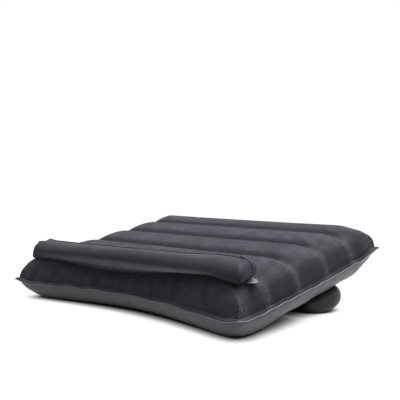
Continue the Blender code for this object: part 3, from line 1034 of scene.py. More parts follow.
@dataclass
class AirPressure:
    """A short cloth simulation that lets a sheet billow between the lines that hold it."""

    pressure: float = 4.0
    frames: int = 20
    most: float = 0.0025
    step: int = 3
    quality: int = 6
    mass: float = 0.2
    stiffness: float = 30
    bending: float = 0.3
    smoothings: int = 2

    def billow(self, points: Array, held: Array) -> Array:
        """How the air moves each point of a grid.

        Args:
            points: Columns by rows by three numbers, facing outwards.
            held: True for the points that a weld holds.

        Returns:
            The moves, in the same layout, none longer than the most that is allowed.
        """
        across = self.kept_lines(points.shape[0])
        along = self.kept_lines(points.shape[1])
        coarse = points[np.ix_(across, along)]
        pinned = held[np.ix_(across, along)]
        moved = self.simulate(coarse, pinned) - coarse
        length = np.linalg.norm(moved, axis=2, keepdims=True)
        moved *= np.minimum(1.0, self.most / np.maximum(length, 1e-9))
        return self.refine(moved, across, along, points.shape[:2])

    def kept_lines(self, count: int) -> Array:
        """Numbers of the grid lines that the coarse grid keeps, both ends included."""
        return np.unique(np.append(np.arange(0, count, self.step), count - 1))

    def simulate(self, points: Array, pinned: Array) -> Array:
        """Run the cloth on a coarse grid.

        Args:
            points: Columns by rows by three numbers.
            pinned: True for the points that stay where they are.

        Returns:
            The points at the last frame, in the same layout.
        """
        count, deep = points.shape[:2]
        flat_points = [tuple(point) for point in points.reshape(-1, 3)]
        mesh = bpy.data.meshes.new("billow")
        mesh.from_pydata(flat_points, [], grid_faces(count, deep))
        cloth = bpy.data.objects.new("billow", mesh)
        bpy.context.scene.collection.objects.link(cloth)
        group = cloth.vertex_groups.new(name="held")
        group.add([int(n) for n in np.flatnonzero(pinned.reshape(-1))], 1.0, "REPLACE")
        modifier = cloth.modifiers.new("air", "CLOTH")
        settings = modifier.settings
        settings.quality = self.quality
        settings.mass = self.mass
        settings.tension_stiffness = self.stiffness
        settings.compression_stiffness = self.stiffness
        settings.bending_stiffness = self.bending
        settings.vertex_group_mass = group.name
        settings.use_pressure = True
        settings.uniform_pressure_force = self.pressure
        settings.effector_weights.gravity = 0.0
        modifier.point_cache.frame_end = self.frames
        scene = bpy.context.scene
        for number in range(1, self.frames + 1):
            scene.frame_set(number)
        blown = cloth.evaluated_get(bpy.context.evaluated_depsgraph_get())
        flat = np.zeros(count * deep * 3)
        blown.data.vertices.foreach_get("co", flat)
        bpy.data.objects.remove(cloth, do_unlink=True)
        scene.frame_set(1)
        return flat.reshape(count, deep, 3)

    def refine(self, moved: Array, across: Array, along: Array, shape: tuple[int, int]) -> Array:
        """Spread the coarse moves over the fine grid and smooth them.

        Args:
            moved: The moves of the coarse grid's points.
            across: The columns that the coarse grid keeps.
            along: The rows that it keeps.
            shape: Columns and rows of the fine grid.

        Returns:
            The moves of the fine grid's points.
        """
        fine_across = np.arange(shape[0])
        fine_along = np.arange(shape[1])
        wide = np.empty((shape[0], len(along), 3))
        full = np.empty((*shape, 3))
        for axis in range(3):
            for j in range(len(along)):
                wide[:, j, axis] = np.interp(fine_across, across, moved[:, j, axis])
            for i in range(shape[0]):
                full[i, :, axis] = np.interp(fine_along, along, wide[i, :, axis])
        for _ in range(self.smoothings):
            for axis in (0, 1):
                before = np.roll(full, 1, axis=axis)
                after = np.roll(full, -1, axis=axis)
                full = (before + 2 * full + after) / 4
        return full


@dataclass(frozen=True)
class PaintedLightAndWear:
    """Where the flock gets painted shade, and where it gets pale scuffs that carry a painted
    highlight.
    """

    bank_offset: float = 0.005
    bank_width: float = 0.007
    flank_most: float = 0.95
    flank_reach: float = 0.023
    flank_fade: float = 0.015
    corner_inset: float = 0.010
    corner_reach: float = 0.028
    end_inset: float = 0.008
    end_length: float = 0.016
    end_width: float = 0.007
    end_most: float = 0.8

    def pressed_and_painted_shade(self, form: CushionForm, x: Array, y: Array) -> Array:
        """How much shade is painted, on the forward-facing rear bank of each groove and low on the
        sides.

        Args:
            form: The cushion's form.
            x: Places across.
            y: Places in depth.

        Returns:
            A share from 0 to 1 for each place.
        """
        side = form.edge_distances(x, y)[0]
        banks = [
            np.exp(-(((y - line - self.bank_offset) / self.bank_width) ** 2))
            for line in form.groove_lines
        ]
        flank = self.flank_most * smooth_step((self.flank_reach - side) / self.flank_fade)
        return np.maximum(np.max(banks, axis=0) * form.groove_along(x), flank)

    def pale_and_highlight(self, form: CushionForm, x: Array, y: Array) -> Array:
        """How pale the nap is scuffed, with a painted highlight, at the cushion's corners and the
        grooves' ends.

        Args:
            form: The cushion's form.
            x: Places across.
            y: Places in depth.

        Returns:
            A share from 0 to 1 for each place.
        """
        side, front, rear = form.edge_distances(x, y)
        corner = np.zeros_like(x)
        for distance in (front, rear):
            far = np.hypot(side - self.corner_inset, distance - self.corner_inset)
            corner = np.maximum(corner, smooth_step(1 - far / self.corner_reach))
        ends = np.exp(-((form.to_groove(y) / self.end_width) ** 2))
        inward = (side - form.groove_end_margin - self.end_inset) / self.end_length
        ends = ends * np.exp(-(inward**2))
        return np.clip(corner + self.end_most * ends, 0, 1)


@dataclass
class CushionSheet:
    """One of the two inflated sheets, as a fine closed shell with its seam, folds and ripples."""

    form: CushionForm
    swell: Swell
    node: str
    finish: Flock | SatinSheet
    slot: str
    pucker_depth: float = 0.0005
    pucker_reach: float = 0.026
    pucker_lengths: tuple[float, float] = (0.011, 0.034)
    front_fold_depth: float = 0.0003
    rear_fold_depth: float = 0.0010
    fold_angles: tuple[float, ...] = (18.0, 45.0, 71.0)
    fold_spread: float = 6.5
    fold_start: float = 0.010
    fold_reach: float = 0.055
    groove_pucker: float = 0.00035
    bank: float = 0.004
    bank_lengths: tuple[float, float] = (0.007, 0.019)
    bank_skew: float = 0.13
    crease_places: tuple[float, ...] = ()
    crease_depth: float = 0.0007
    crease_width: float = 0.0016
    crease_start: float = 0.003
    crease_reach: float = 0.028
    overhang: float = 0.0
    droop: float = 0.0016
    wave: Ripple = Ripple(0.045, 0.11, 3)
    wave_reach: float = 0.022
    wave_skew: float = 1.7
    weld_line: float = 0.00025
    edge_width: float = 0.0013
    seed: int = 11
    air: AirPressure = field(default_factory=AirPressure)
    painted_light_and_wear: PaintedLightAndWear = PaintedLightAndWear()

    def places(self) -> tuple[Array, Array]:
        """Places of the grid's points across, before the sides are drawn in, and in depth."""
        columns = self.form.columns()
        y = self.form.rows(columns)
        return np.broadcast_to(columns[:, None], y.shape), y

    def shape(self) -> Array:
        """The outer face, with everything but the thickness.

        Returns:
            Its points, columns by rows by three numbers.
        """
        form = self.form
        x, y = self.places()
        z = form.height(x, y, self.swell)
        points = np.stack([x * form.side_scale(y), y, z], axis=2)
        points = self.inflate(x, y, points)
        sign = self.swell.facing.value
        normals = grid_normals(points) * sign
        raised = self.puckers(x, y) + self.corner_folds(x, y) + self.groove_ripple(x, y)
        raised += self.front_creases(x, y)
        points = points + normals * raised[..., None]
        points[..., 2] += self.flange_shape(x, y)
        self.spread_flange(x, y, points)
        form.shift_corners(x, y, points)
        points[..., 2] = np.maximum(points[..., 2], 0.0)
        return points

    def inflate(self, x: Array, y: Array, points: Array) -> Array:
        """Let air billow the sheet between the seam, the grooves and the floor.

        Args:
            x: Places across.
            y: Places in depth.
            points: The sheet's points.

        Returns:
            The moved points.
        """
        form = self.form
        edge = form.to_edge(x, y) <= form.flange_width * 1.01
        welded = (form.to_groove(y) < 1e-6) & (form.groove_along(x) > 0.5)
        held = edge | welded | (points[..., 2] <= 0.0)
        facing = points if self.swell.facing is Facing.UP else points[:, ::-1]
        pins = held if self.swell.facing is Facing.UP else held[:, ::-1]
        moved = self.air.billow(facing, pins)
        if self.swell.facing is Facing.DOWN:
            moved = moved[:, ::-1]
        moved[held] = 0.0
        return points + moved

    def puckers(self, x: Array, y: Array) -> Array:
        """Short ripples that run in from the weld seam, where the sheet has length to spare.

        Args:
            x: Places across.
            y: Places in depth.

        Returns:
            How far they raise the sheet.
        """
        form = self.form
        side, front, rear = form.edge_distances(x, y)
        total = np.zeros_like(x)
        lines = ((side, y, self.seed), (front, x, self.seed + 1), (rear, x, self.seed + 2))
        for distance, along, seed in lines:
            inward = (distance - form.flange_width) / self.pucker_reach
            window = np.clip(inward, 0, 1) ** 0.5 * smooth_step(1 - inward)
            total += window * Ripple(*self.pucker_lengths, seed).at(along)
        return self.pucker_depth * total

    def corner_folds(self, x: Array, y: Array) -> Array:
        """Creases that fan out of each corner of the seam.

        Args:
            x: Places across.
            y: Places in depth.

        Returns:
            How far they raise the sheet, below 0.
        """
        form = self.form
        side, front, rear = form.edge_distances(x, y)
        total = np.zeros_like(x)
        for distance, depth in ((front, self.front_fold_depth), (rear, self.rear_fold_depth)):
            a = side - form.flange_width
            b = distance - form.flange_width
            radius = np.hypot(a, b)
            angle = np.degrees(np.arctan2(b, a))
            window = smooth_step(radius / self.fold_start)
            window = window * smooth_step(1 - radius / self.fold_reach)
            for centre in self.fold_angles:
                total -= depth * window * np.exp(-(((angle - centre) / self.fold_spread) ** 2))
        return total

    def front_creases(self, x: Array, y: Array) -> Array:
        """Upright creases in the front wall, where the sheet was folded in its box.

        Args:
            x: Places across.
            y: Places in depth.

        Returns:
            How far they raise the sheet, below 0.
        """
        form = self.form
        inward = form.edge_distances(x, y)[1] - form.flange_width
        window = smooth_step(inward / self.crease_start)
        window = window * smooth_step(1 - inward / self.crease_reach)
        total = np.zeros_like(x)
        for place in self.crease_places:
            total -= np.exp(-(((x - place) / self.crease_width) ** 2))
        return self.crease_depth * window * total

    def groove_ripple(self, x: Array, y: Array) -> Array:
        """Small puckers on both banks of each groove, pulled in by the weld to the rib.

        Args:
            x: Places across.
            y: Places in depth.

        Returns:
            How far they raise the sheet.
        """
        form = self.form
        nearest = form.to_groove(y)
        bank = nearest / self.bank * np.exp(1 - nearest / self.bank)
        waves = Ripple(*self.bank_lengths, self.seed + 5).at(x + self.bank_skew * y)
        return self.groove_pucker * bank * form.groove_along(x) * waves

    def flange_shape(self, x: Array, y: Array) -> Array:
        """The uneven lie of the flange, shared by both sheets, and the line of the weld.

        Args:
            x: Places across.
            y: Places in depth.

        Returns:
            How far the points move up.
        """
        form = self.form
        edge = form.to_edge(x, y)
        close = smooth_step(1 - edge / self.wave_reach)
        wave = self.wave.at(x + self.wave_skew * y)
        inner = np.abs(edge - form.flange_width / 2) / form.flange_width * 2
        pressed_and_painted_shade = self.weld_line * smooth_step(1 - inner / 0.6)
        drooped = self.droop * np.clip(1 - edge / form.flange_width, 0, 1) ** 1.5
        return form.flange_wave * close * wave - self.swell.facing.value * pressed_and_painted_shade - drooped

    def spread_flange(self, x: Array, y: Array, points: Array) -> None:
        """Let the flange of one sheet stand a little past the other's, as trimmed welds do.

        Args:
            x: Places across.
            y: Places in depth.
            points: The sheet's points, which are moved.
        """
        side, front, rear = self.form.edge_distances(x, y)
        flange = self.form.flange_width
        points[..., 0] += np.sign(x) * self.overhang * np.clip(1 - side / flange, 0, 1)
        points[..., 1] -= self.overhang * np.clip(1 - front / flange, 0, 1)
        points[..., 1] += self.overhang * np.clip(1 - rear / flange, 0, 1)

    def build(self) -> Object:
        """Make the closed shell, dress it and tie it to the frame.

        Returns:
            The sheet.
        """
        outer = self.shape()
        sign = self.swell.facing.value
        inner = outer - grid_normals(outer) * sign * self.swell.thickness
        count, deep = outer.shape[:2]
        size = count * deep
        faces = []
        for face in grid_faces(count, deep):
            outward = face[::sign]
            faces += [outward, [index + size for index in reversed(outward)]]
        rim = [i * deep for i in range(count)]
        rim += [(count - 1) * deep + j for j in range(1, deep)]
        rim += [i * deep + deep - 1 for i in range(count - 2, -1, -1)]
        rim += [j for j in range(deep - 2, 0, -1)]
        for start, end in zip(rim, rim[1:] + rim[:1]):
            face = [end, start, start + size, end + size]
            faces.append(face[::sign])
        both = np.concatenate([outer.reshape(-1, 3), inner.reshape(-1, 3)])
        made = make_object(f"{self.node}_inflated", both, faces, self.finish.material())
        self.mark_painted_light(made)
        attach(made, ROOT_BODY)
        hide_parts(self.node)
        return made

    def mark_painted_light(self, made: Object) -> None:
        """Note the painted shade and the pale scuffs with their painted highlight on the flock, and
        the pale cut edge with its painted highlight on the other sheet.

        Args:
            made: The sheet.
        """
        x, y = self.places()
        if self.swell.facing is Facing.DOWN:
            # Pale cut edge of the grey sheet, which is also a painted highlight.
            pale_and_highlight = smooth_step(1.5 - self.form.to_edge(x, y) / self.edge_width)
        else:
            pressed_and_painted_shade = self.painted_light_and_wear.pressed_and_painted_shade(self.form, x, y).reshape(-1)
            mark(made, "pressed_and_painted_shade", np.concatenate([pressed_and_painted_shade, pressed_and_painted_shade]))
            pale_and_highlight = self.painted_light_and_wear.pale_and_highlight(self.form, x, y)
        share = pale_and_highlight.reshape(-1)
        mark(made, "pale_and_highlight", np.concatenate([share, share]))


class Rest:
    """Where a chamber meets the outer face of the fine cushion sheet that it is welded to."""

    def __init__(self, form: CushionForm, swell: Swell, sheet: Object) -> None:
        """Keep the form and a search tree of the sheet.

        Args:
            form: The cushion's form, for places past the sheet's edge.
            swell: Which of its two sheets this is.
            sheet: The fine sheet.
        """
        self.form = form
        self.swell = swell
        self.tree = BVHTree.FromObject(sheet, bpy.context.evaluated_depsgraph_get())

    def height(self, points: Array) -> Array:
        """Height of the sheet under or over each point.

        Args:
            points: The points, one line each.

        Returns:
            One height for each.
        """
        x = points[:, 0] / self.form.side_scale(points[:, 1])
        found = self.form.height(x, points[:, 1], self.swell)
        side = self.swell.facing.value
        for n, (across, along, _) in enumerate(points):
            hit = self.tree.ray_cast(Vector((across, along, side)), Vector((0, 0, -side)))
            if hit[0] is not None:
                found[n] = hit[0].z
        return found


@dataclass
class Chamber:
    """A bolster that lies along x on the cushion's slope and follows the front's curve."""

    form: CushionForm
    length: float
    breadth: float
    height: float
    end_round: float
    centre_y: float
    centre_z: float
    bend: float
    facing: Facing
    squareness: float = 2.3
    plan_squareness: float = 2.0
    thickness: float = 0.0005
    open_angle: float = 75.0
    rings: int = 30
    straight_steps: int = 130
    end_steps: int = 30
    upper: Contour = Contour()
    lower: Contour = Contour()
    lift: Contour = Contour(shares=(0.0, 0.0))
    hollow: Contour = Contour(shares=(0.0, 0.0))
    hollow_low: float = -24.0
    hollow_rise: float = 34.0
    lower_bulge: float = 0.36
    dent: float = 0.0
    dents: Ripple = Ripple(0.030, 0.085, 17)
    dent_lean: float = 0.4
    small_dents: Ripple = Ripple(0.012, 0.022, 19)
    small_dent_lean: float = -0.2
    small_dent_share: float = 0.12
    left_reach: float = 1.0
    right_skew: float = 0.0
    least_foot: float = 0.3
    foot_tries: int = 71

    @property
    def spine(self) -> float:
        """Half the length of the straight part between the rounded ends."""
        return self.length / 2 - self.end_round

    def around(self) -> Array:
        """The outline in plan.

        Returns:
            For each direction a place along the spine, then shares of the end and of the breadth.
        """
        front = np.linspace(-self.spine, self.spine, self.straight_steps + 1)
        turn = np.pi * np.arange(1, self.end_steps) / self.end_steps
        power = 2 / self.plan_squareness
        aside = np.sin(turn) ** power
        ahead = -np.sign(np.cos(turn)) * np.abs(np.cos(turn)) ** power
        flat = np.zeros_like(front)
        line = [
            np.stack([front, flat, flat - 1], axis=1),
            np.stack([np.full_like(turn, self.spine), aside, ahead], axis=1),
            np.stack([front[::-1], flat, flat + 1], axis=1),
            np.stack([np.full_like(turn, -self.spine), -aside, -ahead], axis=1),
        ]
        return np.concatenate(line)

    def skin(self) -> tuple[Array, list[list[int]]]:
        """Points and faces of the open skin, before it follows the curve of the front.

        Returns:
            The points in rings from the base to the crown, and the faces, outward.
        """
        around = self.around()
        turns = np.radians(np.linspace(-self.open_angle, 90, self.rings + 1))[:-1]
        rings = [self.ring(turn, around) for turn in turns]
        straight = around[: self.straight_steps + 1]
        crown = self.ring(math.pi / 2, straight)
        points = np.concatenate([*rings, crown])
        count = len(around)
        faces = band_faces(count, 0, len(turns) - 1)
        last = (len(turns) - 1) * count
        first = len(turns) * count
        for n in range(count):
            following = (n + 1) % count
            ends = [first + self.spine_index(n), first + self.spine_index(following)]
            face = [last + n, last + following, ends[1], ends[0]]
            faces.append(face[:3] if ends[0] == ends[1] else face)
        if self.facing is Facing.DOWN:
            faces = [face[::-1] for face in faces]
        return points, faces

    def spine_index(self, n: int) -> int:
        """The point of the crown line that faces a point of the outline.

        Args:
            n: The outline's point.

        Returns:
            The crown line's point.
        """
        if n <= self.straight_steps:
            return n
        passed = n - self.straight_steps
        if passed < self.end_steps:
            return self.straight_steps
        return max(self.straight_steps - (passed - self.end_steps), 0)

    def reached(self, around: Array, share: float | Array) -> Array:
        """Places along x at a share of the way out from the spine, with its ends as they lie."""
        left = np.where(around[:, 1] < 0, self.left_reach, 1.0)
        right = np.where(around[:, 1] > 0, 1 - self.right_skew * around[:, 2], 1.0)
        return around[:, 0] + around[:, 1] * share * self.end_round * left * right

    def ring(self, turn: float, around: Array) -> Array:
        """One ring of the skin.

        Args:
            turn: Its angle up from the widest line, in radians.
            around: The outline in plan.

        Returns:
            Its points, before they follow the curve of the front.
        """
        wide = abs(math.cos(turn)) ** (2 / self.squareness)
        high = math.copysign(abs(math.sin(turn)) ** (2 / self.squareness), math.sin(turn))
        x = self.reached(around, wide)
        forward = around[:, 2] * wide * self.breadth / 2
        level = self.centre_z + self.form.slope * forward + self.lift.at(x)
        contour = self.upper if high > 0 else self.lower
        high = high * contour.at(x)
        level = level + self.facing.value * high * self.height / 2
        waves = self.dents.at(x + self.dent_lean * turn * self.height)
        small = self.small_dents.at(x + self.small_dent_lean * turn * self.height)
        waves = waves + self.small_dent_share * small
        climbed = float(smooth_step((math.degrees(turn) - self.hollow_low) / self.hollow_rise))
        slack = self.hollow.at(x) * (self.lower_bulge - climbed) * np.clip(-around[:, 2], 0, 1)
        forward = forward * (1 + self.dent * waves + slack)
        return np.stack([x, self.centre_y + forward, level], axis=1)

    def bent(self, points: Array) -> Array:
        """The points moved back to follow the curve of the front."""
        moved = points.copy()
        moved[:, 1] += self.bend * self.form.belly_share(points[:, 0])
        return moved

    def spread_out(self, around: Array, share: float | Array) -> Array:
        """Points at a share of the way from the spine to the outline in plan, at height 0.

        Args:
            around: The outline in plan.
            share: One share, or one for each direction.

        Returns:
            The points, which follow the curve of the front.
        """
        y = self.centre_y + around[:, 2] * share * self.breadth / 2
        flat = np.stack([self.reached(around, share), y, np.zeros_like(y)], axis=1)
        return self.bent(flat)

    def foot(self, around: Array, rest: Rest) -> Array:
        """The share at which the chamber's welded side leaves the cushion, in each direction.

        Args:
            around: The outline in plan.
            rest: The cushion sheet that it is welded to.

        Returns:
            A share from 0 to 1 for each direction.
        """
        side = self.facing.value
        found = np.ones(len(around))
        for share in np.linspace(1.0, self.least_foot, self.foot_tries):
            flat = self.spread_out(around, share)
            level = self.centre_z + self.form.slope * around[:, 2] * share * self.breadth / 2
            level += self.lift.at(flat[:, 0])
            deep = self.height / 2 * self.lower.at(flat[:, 0])
            near = level - side * deep * (1 - share**self.squareness) ** (1 / self.squareness)
            found[(rest.height(flat) - near) * side < 0] = share
        return found


@dataclass
class WristRest:
    """The padded bar along the front: a base flange, a front sheet and a rear sheet."""

    form: CushionForm
    rest: Rest
    finish: SatinSheet
    weld: ClearWeld
    breadth: float = 0.046
    height: float = 0.034
    end_round: float = 0.020
    bend: float = 0.015
    plan_squareness: float = 6.0
    dent: float = 0.012
    left_reach: float = 0.97
    right_skew: float = 0.20
    sunk_depth: float = 0.0015
    side_margin: float = 0.018
    setback: float = 0.016
    rise: float = 0.001
    seam_offset: float = 0.009
    seam_gap: float = 0.0003
    lip: float = 0.0011
    tab: float = 0.0026
    tab_place: float = 0.1925
    tab_width: float = 0.0028
    tucked: float = 0.20
    tuck_sharpness: float = 2.5
    crescent: float = 0.88
    fall: float = 0.15
    stand_off: float = 0.0014
    stand_off_start: float = 0.62
    stand_off_length: float = 0.18
    curl: float = 0.0005
    curl_start: float = 0.80
    curl_length: float = 0.20
    weld_squareness: float = 2.6
    weld_end: float = 0.009
    weld_side: float = 0.0025
    base_thickness: float = 0.0005
    clearance: float = 0.0003
    upper: Contour = Contour(
        (-0.214, -0.207, -0.200, -0.192, -0.169, -0.101, -0.015, 0.067, 0.126, 0.179, 0.205),
        (1.30, 1.08, 0.89, 0.81, 0.77, 0.77, 0.81, 0.84, 0.84, 0.87, 0.90),
    )
    lower: Contour = Contour(
        (-0.212, -0.169, -0.124, -0.079, -0.036, 0.027, 0.088, 0.126, 0.162, 0.197),
        (1.08, 0.74, 0.81, 1.05, 1.10, 0.90, 0.48, 0.40, 0.38, 0.64),
    )
    lift: Contour = Contour(
        (-0.212, 0.030, 0.088, 0.126, 0.162, 0.197, 0.212),
        (0.0, 0.0, 0.0010, 0.0030, 0.0045, 0.0030, 0.0020),
    )
    hollow: Contour = Contour(
        (-0.206, -0.150, 0.135, 0.170, 0.196), (0.13, 0.29, 0.28, 0.13, 0.0)
    )

    def chamber(self, grow_end: float = 0.0, grow_side: float = 0.0) -> Chamber:
        """The bar's form, or a grown copy of it.

        Args:
            grow_end: How much longer each end is.
            grow_side: How much wider and higher each side is.

        Returns:
            The chamber.
        """
        centre_y = self.form.front_y + self.setback + self.breadth / 2
        centre_z = self.form.seam_height(centre_y + self.bend) + self.form.top.crown + self.rise
        return Chamber(
            form=self.form,
            length=self.form.width - 2 * self.side_margin + 2 * grow_end,
            breadth=self.breadth + 2 * grow_side,
            height=self.height + 2 * grow_side,
            end_round=self.end_round + grow_end,
            centre_y=centre_y,
            centre_z=centre_z,
            bend=self.bend,
            facing=Facing.UP,
            plan_squareness=self.plan_squareness,
            upper=self.upper,
            lower=self.lower,
            lift=self.lift,
            hollow=self.hollow,
            dent=self.dent,
            left_reach=self.left_reach,
            right_skew=self.right_skew,
        )

    def build(self) -> list[Object]:
        """Make the two sheets and the base flange.

        Returns:
            The three pieces.
        """
        material = self.finish.material()
        made = [self.sheet(half, material) for half in Half]
        made.append(self.base(self.weld.material()))
        return made

    def sheet(self, half: Half, material: Material) -> Object:
        """One of the two sheets, cut at the seam, with its weld lip turned out.

        Args:
            half: Which of the two.
            material: Its finish.

        Returns:
            The sheet.
        """
        side, ahead = half.name.lower(), half.value
        chamber = self.chamber()
        points, faces = chamber.skin()
        mesh = bmesh.new()
        verts = [mesh.verts.new(point) for point in points]
        for face in faces:
            mesh.faces.new([verts[index] for index in face])
        cut = chamber.centre_y + self.seam_offset + ahead * self.seam_gap / 2
        bmesh.ops.bisect_plane(
            mesh,
            geom=mesh.verts[:] + mesh.edges[:] + mesh.faces[:],
            dist=1e-6,
            plane_co=(0, cut, 0),
            plane_no=(0, ahead, 0),
            clear_inner=True,
        )
        lip = self.turn_out_lip(mesh, cut, chamber)
        for vert in mesh.verts:
            vert.co.y += chamber.bend * float(self.form.belly_share(np.array(vert.co.x)))
        places = np.array([vert.co for vert in mesh.verts])
        floor = self.rest.height(places) + self.base_thickness + 2 * self.clearance
        covered = floor - self.sunk_depth
        sunk = {vert for vert, level in zip(mesh.verts, covered) if vert.co.z < level}
        gone = [face for face in mesh.faces if all(vert in sunk for vert in face.verts)]
        for vert, level in zip(mesh.verts, floor):
            vert.co.z = max(vert.co.z, level)
        bmesh.ops.delete(mesh, geom=gone, context="FACES")
        mesh.normal_update()
        # The lip's edge takes the pale cut-edge colour, which also paints the highlight along the
        # seam.
        shares = [1.0 if vert in lip else 0.0 for vert in mesh.verts]
        made = from_bmesh(f"wrist_rest_{side}_sheet_inflated", mesh, material)
        mark(made, "pale_and_highlight", np.array(shares))
        thicken(made, chamber.thickness)
        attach(made, ROOT_BODY)
        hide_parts(f"wrist_rest_{side}_sheet")
        return made

    def turn_out_lip(
        self, mesh: bmesh.types.BMesh, cut: float, chamber: Chamber
    ) -> set[bmesh.types.BMVert]:
        """Turn the edge at the seam outwards, as the welded edge of two sheets stands up.

        Args:
            mesh: The sheet, cut at the seam.
            cut: Where the seam is in depth.
            chamber: The bar's form.

        Returns:
            The points of the lip's outer edge.
        """
        seam = [
            edge
            for edge in mesh.edges
            if edge.is_boundary and all(abs(vert.co.y - cut) < 1e-5 for vert in edge.verts)
        ]
        grown = bmesh.ops.extrude_edge_only(mesh, edges=seam)
        lip = {item for item in grown["geom"] if isinstance(item, bmesh.types.BMVert)}
        level = chamber.centre_z + self.form.slope * (cut - chamber.centre_y)
        for vert in lip:
            aside = vert.co.x - min(max(vert.co.x, -chamber.spine), chamber.spine)
            upward = (vert.co.z - level) * (2 * chamber.end_round / chamber.height) ** 2
            out = Vector((aside, 0.0, upward)).normalized()
            close = math.exp(-(((vert.co.x - self.tab_place) / self.tab_width) ** 2))
            reach = self.lip + self.tab * close * max(out.z, 0.0) ** 4
            vert.co += out * reach
        return lip

    def base(self, material: Material) -> Object:
        """The weld flange, which lies on the flock and shows as a ledge at the right end.

        Args:
            material: Its finish.

        Returns:
            The flange.
        """
        outline = self.chamber(self.weld_end, self.weld_side)
        outline.right_skew = 0.0
        outline.plan_squareness = self.weld_squareness
        around = outline.around()
        aside, ahead = around[:, 1], around[:, 2]
        foot = outline.foot(around, self.rest)
        foot = foot * (1 - self.tucked * (1 - np.abs(aside) ** self.tuck_sharpness))
        shown = smooth_step(aside * 1.6) * smooth_step((ahead + 0.5) / 0.9)
        whole = foot + shown * np.maximum(self.crescent - foot, 0.0)
        ledge = self.rest.height(outline.spread_out(around, foot))
        shares = np.concatenate([np.linspace(0.0, 0.55, 8), np.linspace(0.6, 1.0, 14)])
        rings = []
        for share in shares:
            ring = outline.spread_out(around, share * whole)
            beyond = np.maximum(share * whole - foot, 0.0) * outline.end_round
            level = self.rest.height(ring)
            level = np.where(beyond > 0, np.maximum(level, ledge - self.fall * beyond), level)
            ring[:, 2] = level + self.clearance + self.base_thickness
            curl = smooth_step(np.array((share - self.curl_start) / self.curl_length))
            clear = smooth_step(np.array((share - self.stand_off_start) / self.stand_off_length))
            ring[:, 2] += (self.curl * curl + self.stand_off * clear) * aside**2
            rings.append(ring)
        faces = [face[::-1] for face in band_faces(len(around), 1, len(shares) - 1)]
        made = make_object("wrist_rest_base_flange", np.concatenate(rings), faces, material)
        thicken(made, self.base_thickness)
        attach(made, ROOT_BODY)
        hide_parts("wrist_rest_base_sheet")
        return made


@dataclass
class RearRoll:
    """The smooth roll that lifts the rear: one skin and the base patch it is welded to."""

    form: CushionForm
    rest: Rest
    finish: SatinSheet
    side_margin: float = 0.018
    breadth: float = 0.080
    end_round: float = 0.034
    rear_margin: float = 0.055
    sink: float = 0.012
    flattening: float = 0.002
    weld_end: float = 0.006
    weld_side: float = 0.003
    base_thickness: float = 0.0005
    clearance: float = 0.0003
    sunk_depth: float = 0.0015
    base_rings: int = 26

    def chamber(self, grow_end: float = 0.0, grow_side: float = 0.0) -> Chamber:
        """The roll's form, or a grown copy of it.

        Args:
            grow_end: How much longer each end is.
            grow_side: How much wider and higher each side is.

        Returns:
            The chamber.
        """
        centre_y = -self.form.front_y - self.rear_margin - self.breadth / 2
        under = float(self.form.height(np.array(0.0), np.array(centre_y), self.form.under))
        height = under + self.sink + self.flattening
        return Chamber(
            form=self.form,
            length=self.form.width - 2 * self.side_margin + 2 * grow_end,
            breadth=self.breadth + 2 * grow_side,
            height=height + 2 * grow_side,
            end_round=self.end_round + grow_end,
            centre_y=centre_y,
            centre_z=height / 2 - self.flattening,
            bend=0.0,
            facing=Facing.DOWN,
        )

    def build(self) -> list[Object]:
        """Make the skin and the base patch."""
        material = self.finish.material()
        return [self.skin(material), self.base(material)]

    def skin(self, material: Material) -> Object:
        """The inflated skin, flat where it stands on the floor.

        Args:
            material: Its finish.

        Returns:
            The skin.
        """
        chamber = self.chamber()
        points, faces = chamber.skin()
        ceiling = self.rest.height(points) - self.base_thickness - 2 * self.clearance
        sunk = points[:, 2] > ceiling + self.sunk_depth
        faces = [face for face in faces if not all(sunk[index] for index in face)]
        points[:, 2] = np.clip(points[:, 2], 0.0, np.maximum(ceiling, 0.0))
        made = make_object("roll_skin_inflated", points, faces, material)
        drop_loose(made)
        thicken(made, chamber.thickness)
        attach(made, ROOT_BODY)
        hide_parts("roll_skin")
        return made

    def base(self, material: Material) -> Object:
        """The base patch, flat on the bottom sheet and a little wider than the skin's foot.

        Args:
            material: Its finish.

        Returns:
            The patch.
        """
        outline = self.chamber(self.weld_end, self.weld_side)
        around = outline.around()
        foot = outline.foot(around, self.rest)
        rings = []
        for share in np.linspace(0.0, 1.0, self.base_rings):
            ring = outline.spread_out(around, share * foot)
            ring[:, 2] = self.rest.height(ring) - self.clearance - self.base_thickness
            rings.append(ring)
        faces = band_faces(len(around), 1, len(rings) - 1)
        made = make_object("roll_base_patch", np.concatenate(rings), faces, material)
        drop_loose(made)
        thicken(made, self.base_thickness)
        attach(made, ROOT_BODY)
        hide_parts("roll_base_sheet")
        return made


